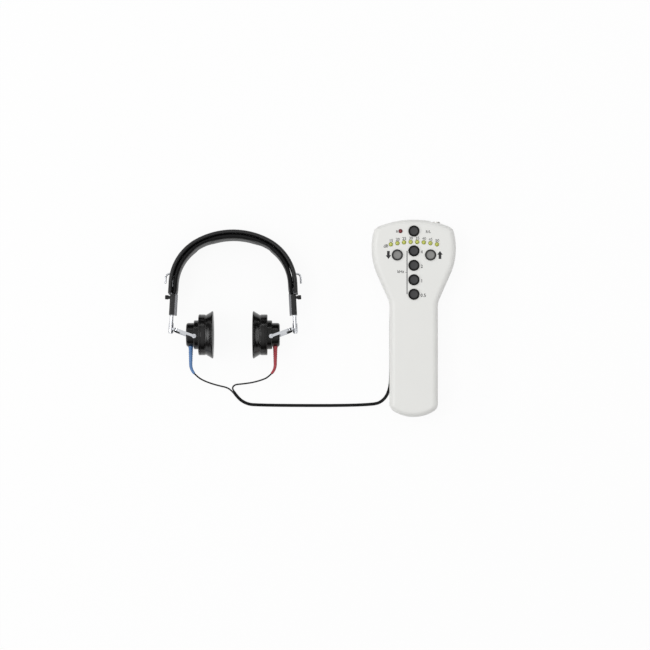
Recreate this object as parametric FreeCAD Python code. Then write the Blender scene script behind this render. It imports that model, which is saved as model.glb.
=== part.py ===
"""Hand-held screening audiometer with its wired headset, in millimetres, +Z up.

The hand-held unit lies on its back: +Y runs from the handle to the head, +Z comes out of the key face,
and the origin is on the handle's flat back.  The headset lies on its side to the left of the unit.  Its
parts are drawn in a frame of their own (X across the head, Y up to the crown, Z through the cups'
width, origin midway between the cups) and are laid down by one placement.  Its right side is drawn and
the left side is its mirror image.
"""

import FreeCAD, Part
import math
import os
from FreeCAD import Placement, Rotation, Vector

# ------------------------------------------------------------------ hand-held unit, outside
UNIT_LENGTH = 227.0
HEAD_WIDTH = 97.0
HEAD_WIDEST_Y = 80.6
HEAD_ARCH_R = 107.0
HEAD_SIDE_R = 75.0
HEAD_CORNER_R = 9.5
FLARE_ANGLE = 24.1  # of the head's lower sides, from the vertical
WAIST_R = 20.0
HANDLE_WIDTH = 55.5
HANDLE_END_R = 43.5
HANDLE_CORNER_R = 10.0
HANDLE_TOP_Y = 34.0  # where the thick handle ends under the head
HANDLE_TOP_R = 20.0
UNIT_DEPTH = 36.0
HEAD_BACK_Z = 11.5  # the head's back stands clear of the table
SPLIT_Z = 20.0  # the parting line of the two shells
WALL = 2.5
FRONT_EDGE_R = 7.0
HANDLE_DRAFT = 4.0
HANDLE_BACK_R = 7.4
HEAD_DRAFT = 3.0
HEAD_BACK_R = 6.0
SLIP = 0.12  # clearance of faces that slide or plug together
SEAM = 0.2

# ------------------------------------------------------------------ shells, inside
LIP_THICK = 1.1
LIP_HIGH = 1.8
LIP_ROOT = 2.5
CASE_SCREW_SPOTS = [(36.0, 60.0), (-36.0, 60.0), (19.5, -32.0), (-19.5, -32.0)]
CASE_SCREW_SEAT_Z = 15.0
CASE_SCREW_R = 1.5
CASE_SCREW_LONG = 13.0
CASE_SCREW_HEAD_R = 2.9
CASE_SCREW_HEAD_HIGH = 2.2
POST_R = 4.4
BOSS_R = 3.2
BOARD_SCREW_SPOTS = [(38.0, 92.0), (-38.0, 92.0), (18.5, -10.0), (-18.5, -10.0)]
BOARD_SCREW_R = 1.2
BOARD_SCREW_LONG = 6.0
BOARD_SCREW_HEAD_R = 2.3
BOARD_SCREW_HEAD_HIGH = 1.4
BULKHEAD_Y = -49.0
BULKHEAD_THICK = 1.6
BULKHEAD_LOW_Z = 9.0

# ------------------------------------------------------------------ battery and its door
DOOR_Y = -46.0
BATTERY_SIZE = (26.5, 48.5, 17.5)
BATTERY_END_Y = -102.4
BATTERY_CLEAR = 0.35
BATTERY_EDGE_R = 1.6
BATTERY_STUD_X = 6.4
BATTERY_STUD_R = 3.0
BATTERY_STUD_HIGH = 2.4
BATTERY_WIRE_R = 0.6
BATTERY_WIRE_XS = (-8.3, -4.9)
BATTERY_WIRE_Z = 13.0
BATTERY_WIRE_REACH = 7.5  # past the clip before it turns up
BATTERY_WIRE_LEAN = 2.0
WIRE_SLOT_CLEAR = 1.2
SNAP_MARGIN = 2.0  # of the clip inside the battery's end
RIB_THICK = 1.4
SIDE_RIB_OVERLAP = 6.0  # how far the side ribs reach down beside the battery
FLOOR_RIB_X = 8.0  # of the door's ribs that the battery lies on
TONGUE_WIDE = 28.0
TONGUE_LONG = 5.0
TONGUE_THICK = 1.5
TONGUE_ROOT_LONG = 6.0
GRIP_GROOVES = 5
GRIP_PITCH = 3.0
GRIP_WIDE = 26.0
GRIP_R = 1.0
GRIP_DEPTH = 0.7
GRIP_FIRST = 12.0  # below the door's top edge
RAIL_LONG_GAP = 6.4  # from the rails' ends to the handle's rounded corner
LEDGE_WIDE = 2.85  # the door's ledges, which ride on the front shell's hooked rails
LEDGE_LOW_Z = 17.5
LEDGE_THICK = 2.0
RAIL_THICK = 1.2
RAIL_HOOK_WIDE = 1.4
RAIL_HOOK_THICK = 1.3
RAIL_CLEAR = 0.3

# ------------------------------------------------------------------ board, keys and lamps
BOARD_TOP_Z = 24.6
BOARD_THICK = 1.6
BOARD_INSET = 4.2
BOARD_LOW_Y = -44.0
# Chips are (x range, y range, height), capacitors (spot, radius, height).
CHIPS = [
    ((-7.0, 7.0), (-4.0, 10.0), 1.6),
    ((-15.0, -10.0), (-24.0, -18.0), 1.5),
    ((8.0, 14.0), (-24.0, -16.0), 1.5),
    ((-12.6, -8.6), (12.0, 22.0), 3.4),
]
CAPACITORS = [((0.0, -24.0), 3.1, 7.0), ((0.0, -34.0), 2.5, 6.0)]
KEY_SPOTS = {
    "key_ear": (0.0, 100.2),
    "key_4khz": (0.0, 77.4),
    "key_2khz": (0.0, 60.8),
    "key_1khz": (0.0, 44.2),
    "key_500hz": (0.0, 27.6),
    "key_down": (-19.1, 72.7),
    "key_up": (19.1, 72.7),
}
KEY_R = 6.1
KEY_HOLE_CLEAR = 0.2
KEY_PROUD = 1.6
KEY_RIM = 1.0
KEY_DISH = 0.8
KEY_FLANGE_R = 7.4
KEY_FLANGE_THICK = 1.2
KEY_TRAVEL = 1.0
KEY_STEM_R = 1.9
SWITCH_SIDE = 6.2
SWITCH_HIGH = 3.4
PLUNGER_R = 1.7
PLUNGER_LONG = 2.2
LAMP_COUNT = 8
LAMP_PITCH = 7.57
LAMP_ARC_TOP_Y = 87.7
LAMP_ARC_R = 128.0
EAR_LAMP_SPOT = (-15.4, 100.1)
LAMP_R = 2.2
LAMP_HOLE_CLEAR = 0.2
LAMP_PROUD = 1.5
LAMP_FLANGE_R = 2.7
LAMP_FLANGE_THICK = 1.5
LAMP_LEG_SIDE = 0.5
LAMP_LEG_PITCH = 2.54

# ------------------------------------------------------------------ headset socket
SOCKET_X = 26.0
SOCKET_SEAT_BELOW_TOP = 3.2
SOCKET_SEAT_X = (19.0, 30.2)
SOCKET_SEAT_THICK = 3.8
SOCKET_SEAT_HALF_HIGH = 7.5
JACK_R = 1.8
JACK_NOSE_R = 3.0
JACK_BODY_SIDE = 6.6
JACK_BODY_LONG = 10.4
JACK_BORE_LONG = 14.0
JACK_RING_R = 4.0
JACK_RING_PROUD = 0.8

# ------------------------------------------------------------------ headband
CROWN_HIGH = 120.6  # outer top above the line between the cups
CROWN_R = 89.0
CROWN_HALF_ANGLE = 28.0
BAND_SIDE_R = 60.8
BAND_LEAN = 3.0  # of the band's straight ends, outwards as they go down
BAND_STRAIGHT = 12.2
BAND_WIDE = 34.0
BAND_CHANNEL_WIDE = 22.0
COVER_THICK = 5.0
COVER_SKIN = 2.8
PAD_OUTER = 5.2  # depths below the band's outer face
PAD_FLOOR = 9.4
PAD_INNER = 10.9
BAND_CORNER_R = 2.0
PAD_CORNER_R = 2.4
SPRING_OUTER = 8.2
SPRING_THICK = 1.0
SPRING_WIDE = 18.0
SPRING_TAIL_WIDE = 12.0
SPRING_TAIL_ROOT = 4.0  # how far the narrow tails run into the wide strip
SPRING_EDGE_DEEP = 1.5  # of the tails' turned edges, towards the head
SPRING_EDGE_THICK = 0.8

# ------------------------------------------------------------------ adjusters and yokes
ROD_DEPTH = 5.2  # of the rod's axis below the band's outer face
ROD_R = 2.2
ROD_CLEAR = 0.06
ROD_SLOT_HALF = 2.6  # the slot in the band's cover that the hairpin slides in
ROD_SLOT_CLEAR = 0.8
ROD_NECK_Y = 8.4  # in the band end's frame, y up along the band and 0 at its cut end
ROD_NECK_LONG = 1.6
ROD_WIRE_R = 1.1  # above the neck, where the rod is drawn to a wire and bent to a hairpin
ROD_WIRE_END_R = 0.4
ROD_BEND_Y = 18.5
ROD_BEND_R = 4.7
ROD_HOOK_END_Y = 11.5
ROD_SHOULDER_Y = -34.0
ROD_SHOULDER_R = 2.9
ROD_SHOULDER_THICK = 1.0
ROD_UP = 9.0
PIN_R = 1.5
PIN_CLEAR = 0.06
RIVET_R = 2.3
RIVET_THICK = 1.0
RIVET_EDGE_R = 0.5
CLAMP_LONG = 24.0
CLAMP_OUTER = 2.2
CLAMP_INNER = 8.1
CLAMP_WIDE = 14.0
CLAMP_EDGE_R = 1.2
CLAMP_GAP = 0.5
KNOB_Y = -4.2
KNOB_R = 2.5
KNOB_LONG = 5.4
KNOB_NECK_R = 1.9
KNOB_NECK_LONG = 1.5
KNOB_EDGE_R = 0.7
KNOB_FLUTES = 10
KNOB_FLUTE_R = 0.5
KNOB_SUNK = 0.4  # into the clamp's countersink
KNOB_SHAFT_R = 1.3
CLAMP_SCREW_R = 0.9
CLAMP_SCREW_HEAD_R = 1.5
CLAMP_SCREW_HEAD_HIGH = 0.9
CLAMP_SCREW_Z = 3.5
CLAMP_SCREW_Y = -14.0
CLAMP_SCREW_DEEP = 3.6
YOKE_GAP = 34.8  # between the arms' inner faces
YOKE_THICK = 1.5
YOKE_WIDE = 3.0
YOKE_BEND_R = 9.0
YOKE_EYE_R = 2.5
BARREL_R = 2.9
BARREL_LONG = 9.6
BARREL_CLEAR = 0.2

# ------------------------------------------------------------------ cups, X measured from the centre plane
CUSHION_R = 27.5
CUSHION_FACE_X = 22.5
CUSHION_RIM_X = 23.6  # where the flared lip is widest
CUSHION_FLARE_X = 31.0  # where it meets the body
CUSHION_NECK_R = 22.9
CUSHION_BODY_R = 23.5
CUSHION_BACK_X = 37.0
CUSHION_DISH = 5.0
CUSHION_CREST_R = 24.3
SOUND_HOLE_R = 9.0
DRIVER_R = 17.0
DRIVER_FRONT_X = 30.7
DRIVER_THICK = 7.0
DRIVER_CLEAR = 0.2
GRILLE_HOLE_R = 1.0
GRILLE_RING_R = 5.2
GRILLE_HOLES = 6
CASE_FLANGE_R = 20.6
CASE_PLATE_THICK = 2.5
STEP_R = 16.7
STEP_BACK_X = 45.0
CAP_R = 13.7
CAP_BACK_X = 53.8
CAP_WALL = 1.5
CAP_EDGE_R = 2.6
PIVOT_X = 44.2
PIVOT_Y = -3.0
PIVOT_SHANK_R = 1.2
PIVOT_HEAD_R = 2.1
PIVOT_HEAD_HIGH = 1.3
PIVOT_SLOT_WIDE = 0.7
PIVOT_SLOT_DEEP = 0.6
PIVOT_BOSS_R = 2.8
PIVOT_SCREW_DEEP = 3.4
RELIEF_X = 48.6
RELIEF_TOP_Y = -13.9
RELIEF_TOP_R = 2.55
RELIEF_STRAIGHT = 20.0
RELIEF_BEND_R = 15.7
RELIEF_TURN = 43.4
RELIEF_TIP_R = 1.9
RELIEF_NECK_R = 1.8
RELIEF_NECK_LONG = 3.2
RELIEF_SEAT_DEEP = 0.4  # of the flat in the cap that it stands on
RELIEF_RIBS = 6
RELIEF_RIB_PITCH = 2.6
RELIEF_GROOVE_WIDE = 0.9
RELIEF_GROOVE_DEEP = 0.35

# ------------------------------------------------------------------ where the headset lies
HEADSET_X = -207.9
HEADSET_CUPS_Y = -19.0

# ------------------------------------------------------------------ leads
THIN_LEAD_R = 0.9
TWIN_LEAD_WIDE = 3.6
TWIN_LEAD_HIGH = 1.8
LEAD_FORK = Vector(-207.4, -86.0, 0.9)
LEAD_TAIL_Z = 4.0
# The thin leads come down from the cups to the fork; the twin lead lies on the table and runs under the
# handle's rounded edge to the coil under the head.
THIN_LEAD_LEFT = [
    Vector(-241.4, -71.9, 26.8),
    Vector(-232.8, -75.4, 19.6),
    Vector(-223.6, -78.2, 8.8),
    Vector(-216.6, -79.9, 2.6),
    Vector(-211.6, -82.6, 0.9),
]
THIN_LEAD_RIGHT = [
    Vector(-174.6, -70.9, 26.9),
    Vector(-184.4, -73.8, 18.2),
    Vector(-193.6, -75.4, 8.6),
    Vector(-200.4, -76.2, 2.9),
    Vector(-206.0, -76.8, 1.0),
    Vector(-209.0, -79.2, 0.9),
    Vector(-209.3, -82.5, 0.9),
]
TWIN_LEAD = [
    Vector(-202.6, -92.7, 0.9),
    Vector(-194.4, -98.4, 0.9),
    Vector(-183.6, -100.9, 0.9),
    Vector(-48.0, -101.2, 0.9),
    Vector(-33.4, -95.2, 0.9),
    Vector(-26.4, -80.6, 0.9),
    Vector(-25.6, -57.0, 0.9),
    Vector(-25.8, -20.0, 0.9),
    Vector(-25.6, 16.0, 0.9),
    Vector(-22.5, 57.0, 0.9),
]
TAIL_LEAD = [
    Vector(2.0, 85.1, LEAD_TAIL_Z),
    Vector(16.0, 85.9, LEAD_TAIL_Z),
    Vector(27.6, 82.6, LEAD_TAIL_Z),
]
COIL_CENTRE = (-1.5, 64.0)
COIL_TURN_R = 17.5  # of the middle turn
COIL_TURNS_WIDE = 3
COIL_LAYERS = 5
PLUG_X = 31.4
PLUG_TOP_Y = 70.0
PLUG_STRAIGHT = 5.0  # of the lead before its plug
PLUG_BOOT_LONG = 8.0
PLUG_BOOT_R = 2.4
PLUG_BODY_R = 4.0
PLUG_BODY_LONG = 18.0
PLUG_PIN_R = 1.75
PLUG_PIN_LONG = 14.0
PLUG_RINGS = (6.2, 9.0)  # insulating rings between the pin's poles, from its base
PLUG_RING_WIDE = 0.6
PLUG_RING_DEEP = 0.2
PLUG_TIP_NECK = 12.2
PLUG_TIP_R = 0.5

# ------------------------------------------------------------------ worked out from the above
UNIT_TOP_Y = UNIT_LENGTH / 2
SOCKET_SEAT_Y = UNIT_TOP_Y - SOCKET_SEAT_BELOW_TOP
HANDLE_HALF = HANDLE_WIDTH / 2
FACE_INNER_Z = UNIT_DEPTH - WALL
BOARD_LOW_Z = BOARD_TOP_Z - BOARD_THICK
HEAD_CAVITY_Z = HEAD_BACK_Z + WALL
BATTERY_LOW_Z = WALL + SEAM + TONGUE_THICK + SEAM  # on the door's ribs, clear of its tongue
CASE_PARTING_Z = BOARD_LOW_Z - 1.6  # where the posts meet the bosses
HEADSET_HALF_WIDE = BAND_WIDE / 2
X_AXIS = Vector(1, 0, 0)
Y_AXIS = Vector(0, 1, 0)
Z_AXIS = Vector(0, 0, 1)


# ------------------------------------------------------------------ small tools
def polar(centre, radius, degrees):
    angle = math.radians(degrees)
    return Vector(centre.x + radius * math.cos(angle), centre.y + radius * math.sin(angle), centre.z)


def arc(centre, radius, start, end):
    middle = (start + end) / 2
    points = [polar(centre, radius, a) for a in (start, middle, end)]
    return Part.Arc(*points).toShape()


def line(a, b):
    return Part.LineSegment(a, b).toShape()


def bearing(a, b):
    """Direction from a to b in the XY plane, in degrees."""
    return math.degrees(math.atan2(b.y - a.y, b.x - a.x))


def box(x, y, z):
    """A block from three (low, high) pairs."""
    corner = Vector(x[0], y[0], z[0])
    return Part.makeBox(x[1] - x[0], y[1] - y[0], z[1] - z[0], corner)


def rod(radius, start, axis, length):
    return Part.makeCylinder(radius, length, start, axis)


def upright(radius, spot, low, high):
    return rod(radius, Vector(spot[0], spot[1], low), Z_AXIS, high - low)


def prism(wire, low, high):
    """The area inside a wire at height 0, between two heights."""
    face = Part.Face(wire)
    face.translate(Vector(0, 0, low))
    return face.extrude(Vector(0, 0, high - low))


def tapered(low_wire, low, high_wire, high):
    bottom = low_wire.copy()
    bottom.translate(Vector(0, 0, low))
    top = high_wire.copy()
    top.translate(Vector(0, 0, high))
    return Part.makeLoft([bottom, top], True, True)


def edges_at(shape, z):
    def flat_at(edge):
        bounds = edge.BoundBox
        return abs(bounds.ZMin - z) < 0.001 and abs(bounds.ZMax - z) < 0.001

    return [edge for edge in shape.Edges if flat_at(edge)]


def curved(start, bulge, end):
    return Part.Arc(start, bulge, end).toShape()


def fused(shapes):
    return shapes[0].multiFuse(shapes[1:]).removeSplitter()


def turned(points, axis_point, axis):
    """A solid of revolution about a line, from corners; a corner may be (bulge point, end) for an arc."""
    edges = []
    here = points[0]
    for step in points[1:] + [points[0]]:
        if isinstance(step, tuple):
            edges.append(Part.Arc(here, step[0], step[1]).toShape())
            here = step[1]
        else:
            edges.append(line(here, step))
            here = step
    face = Part.Face(Part.Wire(edges))
    return face.revolve(axis_point, axis, 360)


def about_z(points, spot):
    """Turned about an upright axis; points are (radius, height), or a pair of them for an arc."""

    def place(point):
        return Vector(spot[0] + point[0], spot[1], point[1])

    path = [tuple(map(place, p)) if isinstance(p[0], tuple) else place(p) for p in points]
    return turned(path, Vector(spot[0], spot[1], 0), Z_AXIS)


def about_cup_axis(points):
    """Turned about the X axis; points are (x, radius), or a pair of them for an arc."""

    def place(point):
        return Vector(point[0], point[1], 0)

    path = [tuple(map(place, p)) if isinstance(p[0], tuple) else place(p) for p in points]
    return turned(path, Vector(0, 0, 0), X_AXIS)


def dome_arc(radius, base, rise):
    """Bulge and end of a profile's arc on a sphere, from (radius, base) to the axis at base + rise."""
    ball = (radius**2 + rise**2) / (2 * abs(rise))
    centre = base + rise - math.copysign(ball, rise)
    half = math.asin(min(1.0, radius / ball)) / 2
    return (ball * math.sin(half), centre + math.copysign(ball * math.cos(half), rise)), (0, base + rise)


# ------------------------------------------------------------------ outlines of the hand-held unit
def corner_centre(centre_a, radius_a, centre_b, radius_b, radius):
    """Centre of the circle that rounds the corner of two circles, from inside both, on their +X side."""
    ra = radius_a - radius
    rb = radius_b - radius
    apart = centre_b - centre_a
    along = (ra**2 - rb**2 + apart.Length**2) / (2 * apart.Length)
    aside = math.sqrt(ra**2 - along**2)
    unit = apart / apart.Length
    crossing = Vector(unit.y, -unit.x, 0) * aside
    if crossing.x < 0:
        crossing = crossing * -1
    return centre_a + unit * along + crossing


def handle_end(inset):
    """Arcs of the handle's right corner and end, and where the right corner starts."""
    centre = Vector(0, HANDLE_END_R - UNIT_TOP_Y, 0)
    x = HANDLE_HALF - HANDLE_CORNER_R
    drop = math.sqrt((HANDLE_END_R - HANDLE_CORNER_R) ** 2 - x**2)
    corner = Vector(x, centre.y - drop, 0)
    turn = bearing(centre, corner)
    corner_arc = (corner, HANDLE_CORNER_R - inset, 0, turn)
    end_arc = (centre, HANDLE_END_R - inset, turn, -180 - turn)
    return corner_arc, end_arc, Vector(HANDLE_HALF - inset, corner.y, 0)


def closed_outline(top, right, bottom):
    """A wire from its top piece, the right side's pieces from top to bottom, and its bottom piece."""

    def edge(piece):
        return arc(*piece) if len(piece) == 4 else line(*piece)

    def mirrored(piece):
        if len(piece) == 4:
            centre, radius, start, end = piece
            return arc(Vector(-centre.x, centre.y, 0), radius, 180 - end, 180 - start)
        return line(Vector(-piece[1].x, piece[1].y, 0), Vector(-piece[0].x, piece[0].y, 0))

    left = [mirrored(piece) for piece in reversed(right)]
    return Part.Wire([edge(top)] + [edge(piece) for piece in right] + [edge(bottom)] + left)


def unit_outline(inset=0.0):
    arch = Vector(0, UNIT_TOP_Y - HEAD_ARCH_R, 0)
    side = Vector(HEAD_WIDTH / 2 - HEAD_SIDE_R, HEAD_WIDEST_Y, 0)
    corner = corner_centre(arch, HEAD_ARCH_R, side, HEAD_SIDE_R, HEAD_CORNER_R)
    arch_end = bearing(arch, corner)
    side_start = bearing(side, corner)
    flare = polar(Vector(0, 0, 0), 1.0, -FLARE_ANGLE)  # the flare's outward normal
    waist_x = HANDLE_HALF + WAIST_R
    reach = side.dot(flare) + HEAD_SIDE_R + WAIST_R
    waist = Vector(waist_x, (reach - waist_x * flare.x) / flare.y, 0)
    corner_arc, end_arc, handle_low = handle_end(inset)
    flare_top = side + flare * (HEAD_SIDE_R - inset)
    flare_low = waist - flare * (WAIST_R + inset)
    right = [
        (corner, HEAD_CORNER_R - inset, arch_end, side_start),
        (side, HEAD_SIDE_R - inset, side_start, -FLARE_ANGLE),
        (flare_top, flare_low),
        (waist, WAIST_R + inset, 180 - FLARE_ANGLE, 180),
        (Vector(HANDLE_HALF - inset, waist.y, 0), handle_low),
        corner_arc,
    ]
    return closed_outline((arch, HEAD_ARCH_R - inset, 180 - arch_end, arch_end), right, end_arc)


def handle_outline(inset=0.0):
    corner_arc, end_arc, handle_low = handle_end(inset)
    corner = Vector(HANDLE_HALF - HANDLE_TOP_R, HANDLE_TOP_Y - HANDLE_TOP_R, 0)
    top_y = HANDLE_TOP_Y - inset
    right = [
        (corner, HANDLE_TOP_R - inset, 90, 0),
        (Vector(HANDLE_HALF - inset, corner.y, 0), handle_low),
        corner_arc,
    ]
    return closed_outline((Vector(-corner.x, top_y, 0), Vector(corner.x, top_y, 0)), right, end_arc)


def back_fillet(radius, corner, draft, height, inset):
    """An edge radius that the drafted wall's own corner leaves room for."""
    half_turn = (90 - math.degrees(math.atan2(draft, height))) / 2
    room = corner - inset - draft
    return min(radius - inset / 2, 0.92 * room / math.tan(math.radians(half_turn)))


def front_form(inset=0.0, low=SPLIT_Z):
    top = UNIT_DEPTH - inset
    solid = prism(unit_outline(inset), low, top)
    return solid.makeFillet(FRONT_EDGE_R - inset, edges_at(solid, top))


def back_form(inset=0.0):
    head_low = HEAD_BACK_Z + inset
    head = tapered(unit_outline(inset + HEAD_DRAFT), head_low, unit_outline(inset), SPLIT_Z)
    head_r = back_fillet(HEAD_BACK_R, HEAD_CORNER_R, HEAD_DRAFT, SPLIT_Z - HEAD_BACK_Z, inset)
    head = head.makeFillet(head_r, edges_at(head, head_low))
    handle = tapered(handle_outline(inset + HANDLE_DRAFT), inset, handle_outline(inset), SPLIT_Z)
    handle_r = back_fillet(HANDLE_BACK_R, HANDLE_CORNER_R, HANDLE_DRAFT, SPLIT_Z, inset)
    handle = handle.makeFillet(handle_r, edges_at(handle, inset))
    return fused([head, handle])


# ------------------------------------------------------------------ features shared by the shells
def lamp_spots():
    """The level lamps stand on a shallow arc, evenly spaced across the unit."""
    spots = []
    for i in range(LAMP_COUNT):
        x = (i - (LAMP_COUNT - 1) / 2) * LAMP_PITCH
        spots.append((x, LAMP_ARC_TOP_Y - LAMP_ARC_R + math.sqrt(LAMP_ARC_R**2 - x**2)))
    return spots


def socket_block(low, high):
    y = (SOCKET_SEAT_Y - SOCKET_SEAT_THICK, SOCKET_SEAT_Y)
    return box(SOCKET_SEAT_X, y, (low, high))


def socket_cut():
    """The notch above the socket's seat, its hole, and room for its body behind the seat."""
    notch = box(SOCKET_SEAT_X, (SOCKET_SEAT_Y, UNIT_TOP_Y + 1), (0, UNIT_DEPTH + 1))
    seat_back = SOCKET_SEAT_Y - SOCKET_SEAT_THICK
    mouth = Vector(SOCKET_X, seat_back - 1, SPLIT_Z)
    hole = rod(JACK_NOSE_R + SLIP, mouth, Y_AXIS, SOCKET_SEAT_THICK + 2)
    half = JACK_BODY_SIDE / 2 + SLIP
    room = box(
        (SOCKET_X - half, SOCKET_X + half),
        (seat_back - JACK_BODY_LONG - 1, seat_back),
        (SPLIT_Z - half, SPLIT_Z + half),
    )
    return fused([notch, hole, room])


def lip_ring(low, high, outer_inset):
    outer = prism(unit_outline(outer_inset), low, high)
    return outer.cut(prism(unit_outline(WALL + SLIP + LIP_THICK), low, high))


def half_space(y_low, y_high):
    reach = UNIT_LENGTH
    return box((-reach, reach), (y_low, y_high), (-reach, reach))


# ------------------------------------------------------------------ hand-held unit: shells and door
def front_shell():
    shell = front_form().cut(front_form(WALL, SPLIT_Z - 1))
    shell = shell.fuse(socket_block(SPLIT_Z, SPLIT_Z + SOCKET_SEAT_HALF_HIGH))
    anchored = FACE_INNER_Z + WALL / 2
    bosses = [upright(BOSS_R, spot, CASE_PARTING_Z + SLIP, anchored) for spot in CASE_SCREW_SPOTS]
    bosses += [upright(BOSS_R, spot, BOARD_TOP_Z, anchored) for spot in BOARD_SCREW_SPOTS]
    half = HANDLE_HALF - WALL - HANDLE_DRAFT - SLIP
    bulkhead = box(
        (-half, half),
        (BULKHEAD_Y - BULKHEAD_THICK / 2, BULKHEAD_Y + BULKHEAD_THICK / 2),
        (BULKHEAD_LOW_Z, anchored),
    )
    rib_x = BATTERY_SIZE[0] / 2 + BATTERY_CLEAR
    battery_top = BATTERY_LOW_Z + BATTERY_SIZE[2] + BATTERY_CLEAR
    rib_y = (BATTERY_END_Y, BATTERY_END_Y + BATTERY_SIZE[1])
    side_ribs = [
        box((x, x + RIB_THICK), rib_y, (battery_top - SIDE_RIB_OVERLAP, anchored))
        for x in (rib_x, -rib_x - RIB_THICK)
    ]
    rib_step = BATTERY_SIZE[1] / 4
    cross_ribs = [
        box((-rib_x - RIB_THICK / 2, rib_x + RIB_THICK / 2), (y, y + RIB_THICK), (battery_top, anchored))
        for y in (rib_y[0] + rib_step, rib_y[0] + 2 * rib_step, rib_y[0] + 3 * rib_step)
    ]
    shell = fused([shell] + bosses + [bulkhead] + side_ribs + cross_ribs + door_rails(anchored))
    cuts = [socket_cut()]
    for spot in KEY_SPOTS.values():
        cuts.append(upright(KEY_R + KEY_HOLE_CLEAR, spot, FACE_INNER_Z - 1, UNIT_DEPTH + 1))
    for spot in lamp_spots() + [EAR_LAMP_SPOT]:
        cuts.append(upright(LAMP_R + LAMP_HOLE_CLEAR, spot, FACE_INNER_Z - 1, UNIT_DEPTH + 1))
    for spot in CASE_SCREW_SPOTS:
        top = CASE_SCREW_SEAT_Z + CASE_SCREW_LONG + 1
        cuts.append(upright(CASE_SCREW_R + 0.05, spot, CASE_PARTING_Z, top))
    for spot in BOARD_SCREW_SPOTS:
        cuts.append(upright(BOARD_SCREW_R + 0.05, spot, BOARD_LOW_Z, BOARD_LOW_Z + BOARD_SCREW_LONG + 1))
    room = BATTERY_WIRE_R + WIRE_SLOT_CLEAR
    wire_slot = (min(BATTERY_WIRE_XS) - room, max(BATTERY_WIRE_XS) + room)
    through = (BULKHEAD_Y - BULKHEAD_THICK, BULKHEAD_Y + BULKHEAD_THICK)
    cuts.append(box(wire_slot, through, (0, BATTERY_WIRE_Z + 2 * room)))
    return shell.cut(Part.makeCompound(cuts))


def rail_span():
    """Where the door's ledges and the front shell's rails lie along the handle."""
    corner_start = handle_end(0.0)[2]
    return corner_start.y + RAIL_LONG_GAP, DOOR_Y - SEAM


def door_rails(anchored):
    """Two tall ribs with hooks at their lower edges, under which the door's ledges can't drop."""
    low, high = rail_span()
    outside = HANDLE_HALF - WALL - LEDGE_WIDE - RAIL_CLEAR
    hook_top = LEDGE_LOW_Z - RAIL_CLEAR
    hook_low = hook_top - RAIL_HOOK_THICK
    web = box((outside - RAIL_THICK, outside), (low, BULKHEAD_Y), (hook_low, anchored))
    hook = box((outside - RAIL_THICK, outside + RAIL_HOOK_WIDE), (low, BULKHEAD_Y), (hook_low, hook_top))
    right = web.fuse(hook)
    return [right, mirrored_left(right)]


def back_form_shell():
    return back_form().cut(back_form(WALL))


def back_shell():
    shell = back_form_shell().common(half_space(DOOR_Y, UNIT_LENGTH))
    shell = shell.fuse(socket_block(SPLIT_Z - SOCKET_SEAT_HALF_HIGH, SPLIT_Z))
    root = lip_ring(SPLIT_Z - LIP_ROOT, SPLIT_Z, WALL / 2)
    lip = lip_ring(SPLIT_Z, SPLIT_Z + LIP_HIGH, WALL + SLIP)
    ring = root.fuse(lip).common(half_space(DOOR_Y, UNIT_LENGTH))
    seat_room = box(
        (SOCKET_SEAT_X[0] - 0.5, SOCKET_SEAT_X[1] + 0.5),
        (SOCKET_SEAT_Y - 12, SOCKET_SEAT_Y),
        (SPLIT_Z, SPLIT_Z + LIP_HIGH + 1),
    )
    ring = ring.cut(seat_room)
    inside = []
    for spot in CASE_SCREW_SPOTS:
        floor = HEAD_CAVITY_Z if spot[1] > HANDLE_TOP_Y else WALL
        inside.append(upright(POST_R, spot, floor - WALL / 2, CASE_PARTING_Z))
    shell = fused([shell, ring] + inside)
    cuts = [socket_cut()]
    for spot in CASE_SCREW_SPOTS:
        cuts.append(upright(CASE_SCREW_HEAD_R + 0.3, spot, -1, CASE_SCREW_SEAT_Z))
        cuts.append(upright(CASE_SCREW_R + 0.2, spot, 0, CASE_PARTING_Z + 1))
    return shell.cut(Part.makeCompound(cuts))


def battery_door():
    door = back_form_shell().common(half_space(-UNIT_LENGTH, DOOR_Y - SEAM))
    ledge_in = HANDLE_HALF - WALL - LEDGE_WIDE
    ledge = box((ledge_in, HANDLE_HALF - WALL / 2), rail_span(), (LEDGE_LOW_Z, LEDGE_LOW_Z + LEDGE_THICK))
    half = TONGUE_WIDE / 2
    tongue_z = (WALL + SEAM, WALL + SEAM + TONGUE_THICK)
    floor_z = (WALL / 2, tongue_z[1])
    root = box((-half, half), (DOOR_Y - TONGUE_ROOT_LONG, DOOR_Y - SEAM), floor_z)
    tongue = box((-half, half), (DOOR_Y - TONGUE_ROOT_LONG, DOOR_Y + TONGUE_LONG), tongue_z)
    rib_y = (BATTERY_END_Y + RIB_THICK, DOOR_Y - TONGUE_ROOT_LONG)
    rib_half = RIB_THICK / 2
    ribs = [box((x - rib_half, x + rib_half), rib_y, floor_z) for x in (-FLOOR_RIB_X, FLOOR_RIB_X)]
    door = fused([door, ledge, mirrored_left(ledge), root, tongue] + ribs)
    grooves = []
    for i in range(GRIP_GROOVES):
        start = Vector(-GRIP_WIDE / 2, DOOR_Y - GRIP_FIRST - i * GRIP_PITCH, GRIP_DEPTH - GRIP_R)
        grooves.append(rod(GRIP_R, start, X_AXIS, GRIP_WIDE))
    return door.cut(Part.makeCompound(grooves))


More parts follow.
